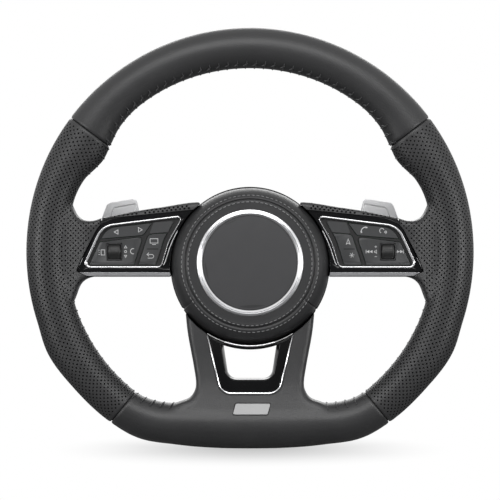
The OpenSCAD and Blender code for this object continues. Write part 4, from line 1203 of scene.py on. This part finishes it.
grey_thread = grained("grey_thread", (0.2, 0.2, 0.202), (0.34, 0.34, 0.342), 0.6, 3000.0, 0.0002)
dash = thread_piece("cover_stitch", [(-1.3, 0, -0.22), (-0.9, 0, 0.02), (0, 0, 0.1), (0.9, 0, 0.02),
                                     (1.3, 0, -0.22)], 0.27)
STITCH_PITCH = 0.0039
lid = BVHTree.FromObject(cover, bpy.context.evaluated_depsgraph_get())
for label, r in (("outer", 56.4), ("inner", 50.9)):
    places, ways = [], []
    for k in range(361):
        spot = Vector((r * math.cos(math.radians(k)), -200, -9.8 + r * math.sin(math.radians(k)))) / 1000
        place, normal, face, distance = lid.ray_cast(spot, Vector((0, 1, 0)))
        places.append(place)
        ways.append(normal)
    sew("cover_stitches_" + label, places, ways, dash, STITCH_PITCH, grey_thread, "airbag_module")
bpy.data.objects.remove(dash)


# Bright ring and centre cap
# A turned ring of satin chrome in two bands lies round a plain grained cap, with a dark joint
# between them.
RING = [(39.1, -9.9), (39.1, -11.0), (39.3, -11.25), (40.8, -12.05), (41.1, -11.95), (41.3, -11.5),
        (41.5, -11.95), (41.8, -12.1), (43.4, -11.6), (43.8, -11.2), (43.9, -9.9)]
ring_metal = grained("ring_metal", (0.66, 0.66, 0.67), (0.76, 0.76, 0.77), 0.3, 120.0, 0.000004, 1.0)
cap_plastic = grained("cap_plastic", (0.036, 0.036, 0.038), (0.05, 0.05, 0.052), 0.5, 2100.0, 0.00012)
ring = solid("turned_ring", [loft(turned(RING, FACE_Z, range(360)), closed=True)])
sharpen(ring, 25)
fit(ring, ring_metal, "airbag_module", "bright_trim", "airbag_ring")
dress("airbag_cap", cap_plastic, "cap_plastic", 0.1)


# Studio
# A pale floor, shown white with a painted soft shadow round the foot of the wheel, with white
# behind it, large soft lamps above and behind, small ones at the sides, and a camera straight in
# front of the driver's side.
VIEW_W, CAMERA_AT = 0.413, 1.9
FLOOR_Z = -0.1628
camera = new_piece("camera", bpy.data.cameras.new("camera"))
camera.data.sensor_width = 36.0
camera.data.lens = 36.0 * CAMERA_AT / VIEW_W
camera.location = (0, -DISH / 1000 - CAMERA_AT, 0.0015)
camera.rotation_euler = (math.radians(90), 0, 0)
bpy.context.scene.camera = camera

sweep = bpy.data.meshes.new("floor")
sweep.from_pydata([(x, z, FLOOR_Z) for x, z in ((-9, -9), (9, -9), (9, 9), (-9, 9))], [], [(0, 1, 2, 3)])
floor = new_piece("floor", sweep)
paper, spot = start_material("pale_paper")
fibre = spot.node("TexNoise", {}, {"Vector": spot, "Scale": 300.0, "Detail": 2.0})
end_material(paper, {"Base Color": tone(spot, (0.32, 0.32, 0.32), (0.35, 0.35, 0.35), fibre),
                     "Roughness": 0.9})
glow = spot.node("Emission", {}, {"Color": (1, 1, 1, 1), "Strength": 1.0})
seen = spot.node("LightPath")
off = spot.node("VectorMath", {"operation": "SUBTRACT"}, {0: spot, 1: (0, -DISH / 1000, FLOOR_Z)})
away = spot.node("VectorMath", {"operation": "LENGTH"}, {0: off}, out=1)
# Painted shadow: near the wheel's foot the floor shows less white glow and more of its dim lit paper, which
# darkens a patch there on top of the real shadow.
painted_shadow_fade = spot.node("MapRange", {"interpolation_type": "SMOOTHSTEP"},
                 {"Value": away, "From Min": 0.0, "From Max": 0.17, "To Min": 0.5, "To Max": 1.0})
body = Shade(paper.node_tree, paper.node_tree.nodes["Principled BSDF"].outputs[0])
mixed = spot.node("MixShader", {}, {0: seen * painted_shadow_fade, 1: body, 2: glow})
paper.node_tree.links.new(mixed.socket, paper.node_tree.nodes["Material Output"].inputs["Surface"])
give(floor, paper)

world = bpy.data.worlds.new("studio")
bpy.context.scene.world = world
world.use_nodes = True
sky = world.node_tree
around = Shade(sky, sky.nodes.new("ShaderNodeLightPath").outputs["Is Camera Ray"])
glossy = Shade(sky, around.socket.node.outputs["Is Glossy Ray"])
through = Shade(sky, around.socket.node.outputs["Is Transmission Ray"])
plain = around.node("Background", {}, {"Color": (0.9, 0.93, 1.0, 1), "Strength": 0.16})
white = around.node("Background", {}, {"Color": (1, 1, 1, 1), "Strength": 1.0})
spread = Shade(sky, sky.nodes.new("ShaderNodeTexCoord").outputs["Generated"])
ahead = spread.node("SeparateXYZ", {}, {0: spread}, out=1)
height = spread.node("SeparateXYZ", {}, {0: spread}, out=2)
edges = ahead.node("MapRange", {"interpolation_type": "SMOOTHSTEP"},
                   {"Value": ahead, "From Min": -0.88, "From Max": -0.3, "To Min": 0.2, "To Max": 1.0})
lifted = height.node("MapRange", {"interpolation_type": "SMOOTHSTEP"},
                     {"Value": height, "From Min": -0.1, "From Max": 0.8, "To Min": 0.0, "To Max": 0.55})
shown = around.maths("MAXIMUM", around, glossy * around.maths("MAXIMUM", edges, lifted))
shown = around.maths("MAXIMUM", shown, through)
chosen = around.node("MixShader", {}, {0: shown, 1: plain, 2: white})
sky.links.new(chosen.socket, sky.nodes["World Output"].inputs["Surface"])


def lamp(name, place, aim, size, power):
    light = bpy.data.lights.new(name, "AREA")
    light.shape = "RECTANGLE"
    light.size, light.size_y = size
    light.energy = power
    holder = new_piece(name, light)
    holder.location = place
    holder.rotation_euler = (Vector(aim) - Vector(place)).to_track_quat("-Z", "Y").to_euler()


lamp("top", (0, -2.6, 1.75), (0, -0.05, 0), (2.7, 1.1), 54)
lamp("left", (-1.35, -1.25, 0.04), (0, -0.05, -0.05), (0.6, 0.38), 9)
lamp("right", (1.35, -1.25, 0.04), (0, -0.05, -0.05), (0.6, 0.38), 9)
lamp("rear", (0, 2.3, 1.3), (0, 0, 0), (2.4, 1.0), 26)
bpy.context.scene.view_settings.view_transform = "Standard"
